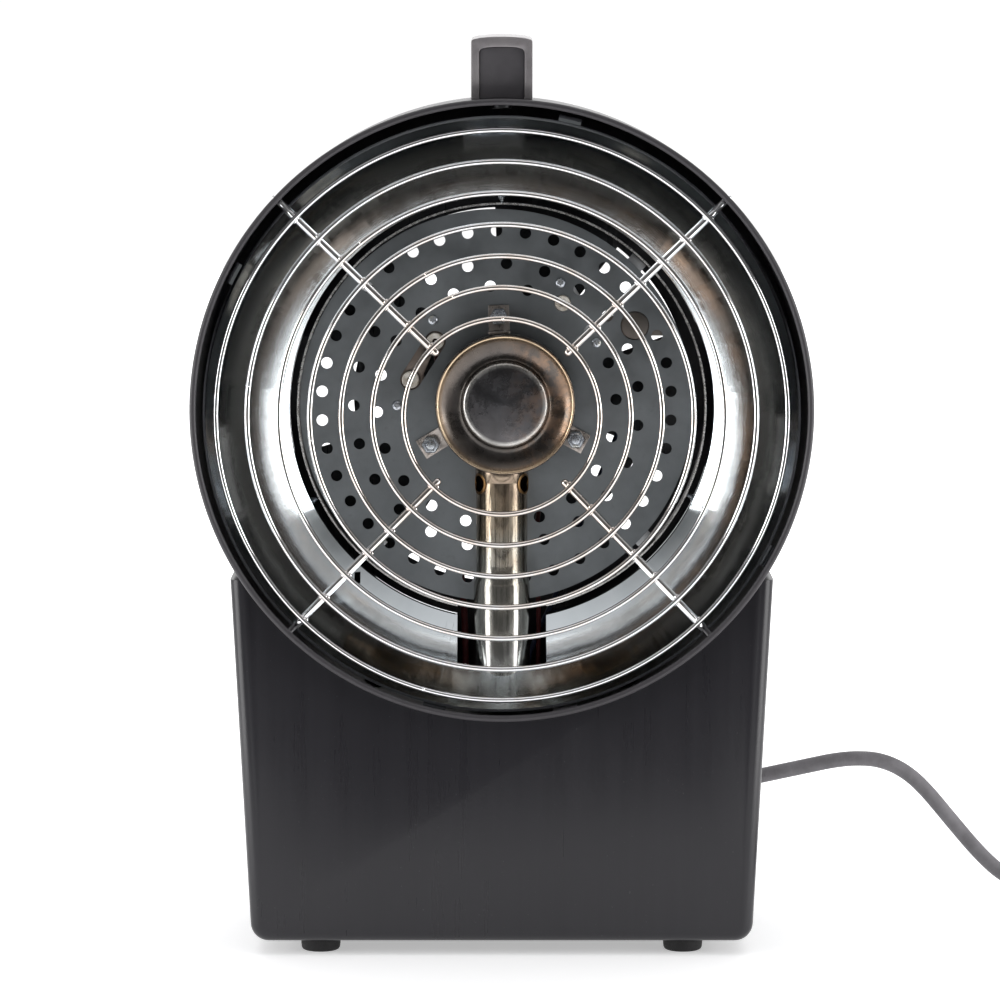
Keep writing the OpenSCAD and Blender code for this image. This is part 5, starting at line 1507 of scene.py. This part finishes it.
def makeDialMarks():  # ticks round the knob, and a wedge that grows from low to high
    low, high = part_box("dial_plate")
    centre = middleAt(low, high, high.y)
    verts, faces = [], []

    def patch(turn, inner, outer, halfTurn, wedge=0.0):
        first = len(verts)
        for side, r in ((-1, inner), (1, inner), (1, outer + wedge), (-1, outer)):
            a = math.radians(turn + side * halfTurn)
            for lift in (0.0, dial["lift"]):
                # the dial is read from behind, so its turns run the other way in x
                verts.append(centre + Vector((-r * math.sin(a), lift, r * math.cos(a))))
        faces.extend([(first, first + 2, first + 4, first + 6), (first + 1, first + 7, first + 5, first + 3)])
        for k in range(4):
            a, b = first + 2 * k, first + 2 * ((k + 1) % 4)
            faces.append((a, a + 1, b + 1, b))

    for i in range(dial["marks"]):
        patch(-i * dial["sweep"] / (dial["marks"] - 1), *dial["tick"], dial["tickHalfTurn"])
    for i in range(dial["wedgeParts"]):
        turn = -(dial["wedgeFrom"] + i * dial["wedgeTurn"])
        thick = dial["wedgeThin"] + dial["wedgeGrow"] * i / dial["wedgeParts"]
        patch(turn, dial["wedgeR"], dial["wedgeR"] + thick, dial["wedgeTurn"] / 2)
    return meshPiece("dialMarks", verts, faces, casePlastic)


def makeSpring():
    low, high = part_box("knob_spring")
    centre = (low + high) / 2
    wire = 0.0005
    r = (high.x - low.x) / 2 - wire
    turns, perTurn = 4, 28
    path = []
    for i in range(turns * perTurn + 1):
        a = math.tau * i / perTurn
        y = low.y + wire + (high.y - low.y - 2 * wire) * i / (turns * perTurn)
        path.append(Vector((centre.x + r * math.cos(a), y, centre.z + r * math.sin(a))))
    return sweep("knobSpring", path, wire, zinc, 8, [(0.7, 0.6)])


refine("gas_valve", brass, "brass", 0.0005)
refine("valve_nut", zinc, "zinc", 0.0003)
refine("valve_stem", zinc, "zinc", 0.0004, "knob")
refine("spring_seat", zinc, "zinc", 0.0002, "knob_seat")
settle(soften(copyNode("control_knob", "controlKnob", knobPlastic), 0.0004, 2, 50), "black_plastic", "control_knob",
       body="knob")
refine("knob_pointer", whitePaint, "white_plastic", 0.0001, "knob")
refine("dial_plate", dialSheet, "dial", 0.0001)
settle(makeDialMarks(), "black_plastic")
knobSpring = settle(makeSpring(), "zinc", "knob_spring")
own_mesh(knobSpring)
refine("piezo_igniter", casePlastic, "black_plastic", 0.0005)
refine("piezo_nut", zinc, "zinc", 0.0003)
refine("piezo_button", redPlastic, "red_plastic", 0.0004, "button")
for node, width in (("inlet_elbow", 0.0004), ("inlet_nut", 0.0003), ("jet_holder", 0.0003)):
    refine(node, brass, "brass", width)
refine("air_shutter", innerSteel, "plain_steel", 0.0001)
for node, name in (("inlet_pipe", "inletPipe"), ("feed_pipe", "feedPipe")):
    settle(copyNode(node, name, pipeSteel), "alu_pipe", node)
print("controls done")
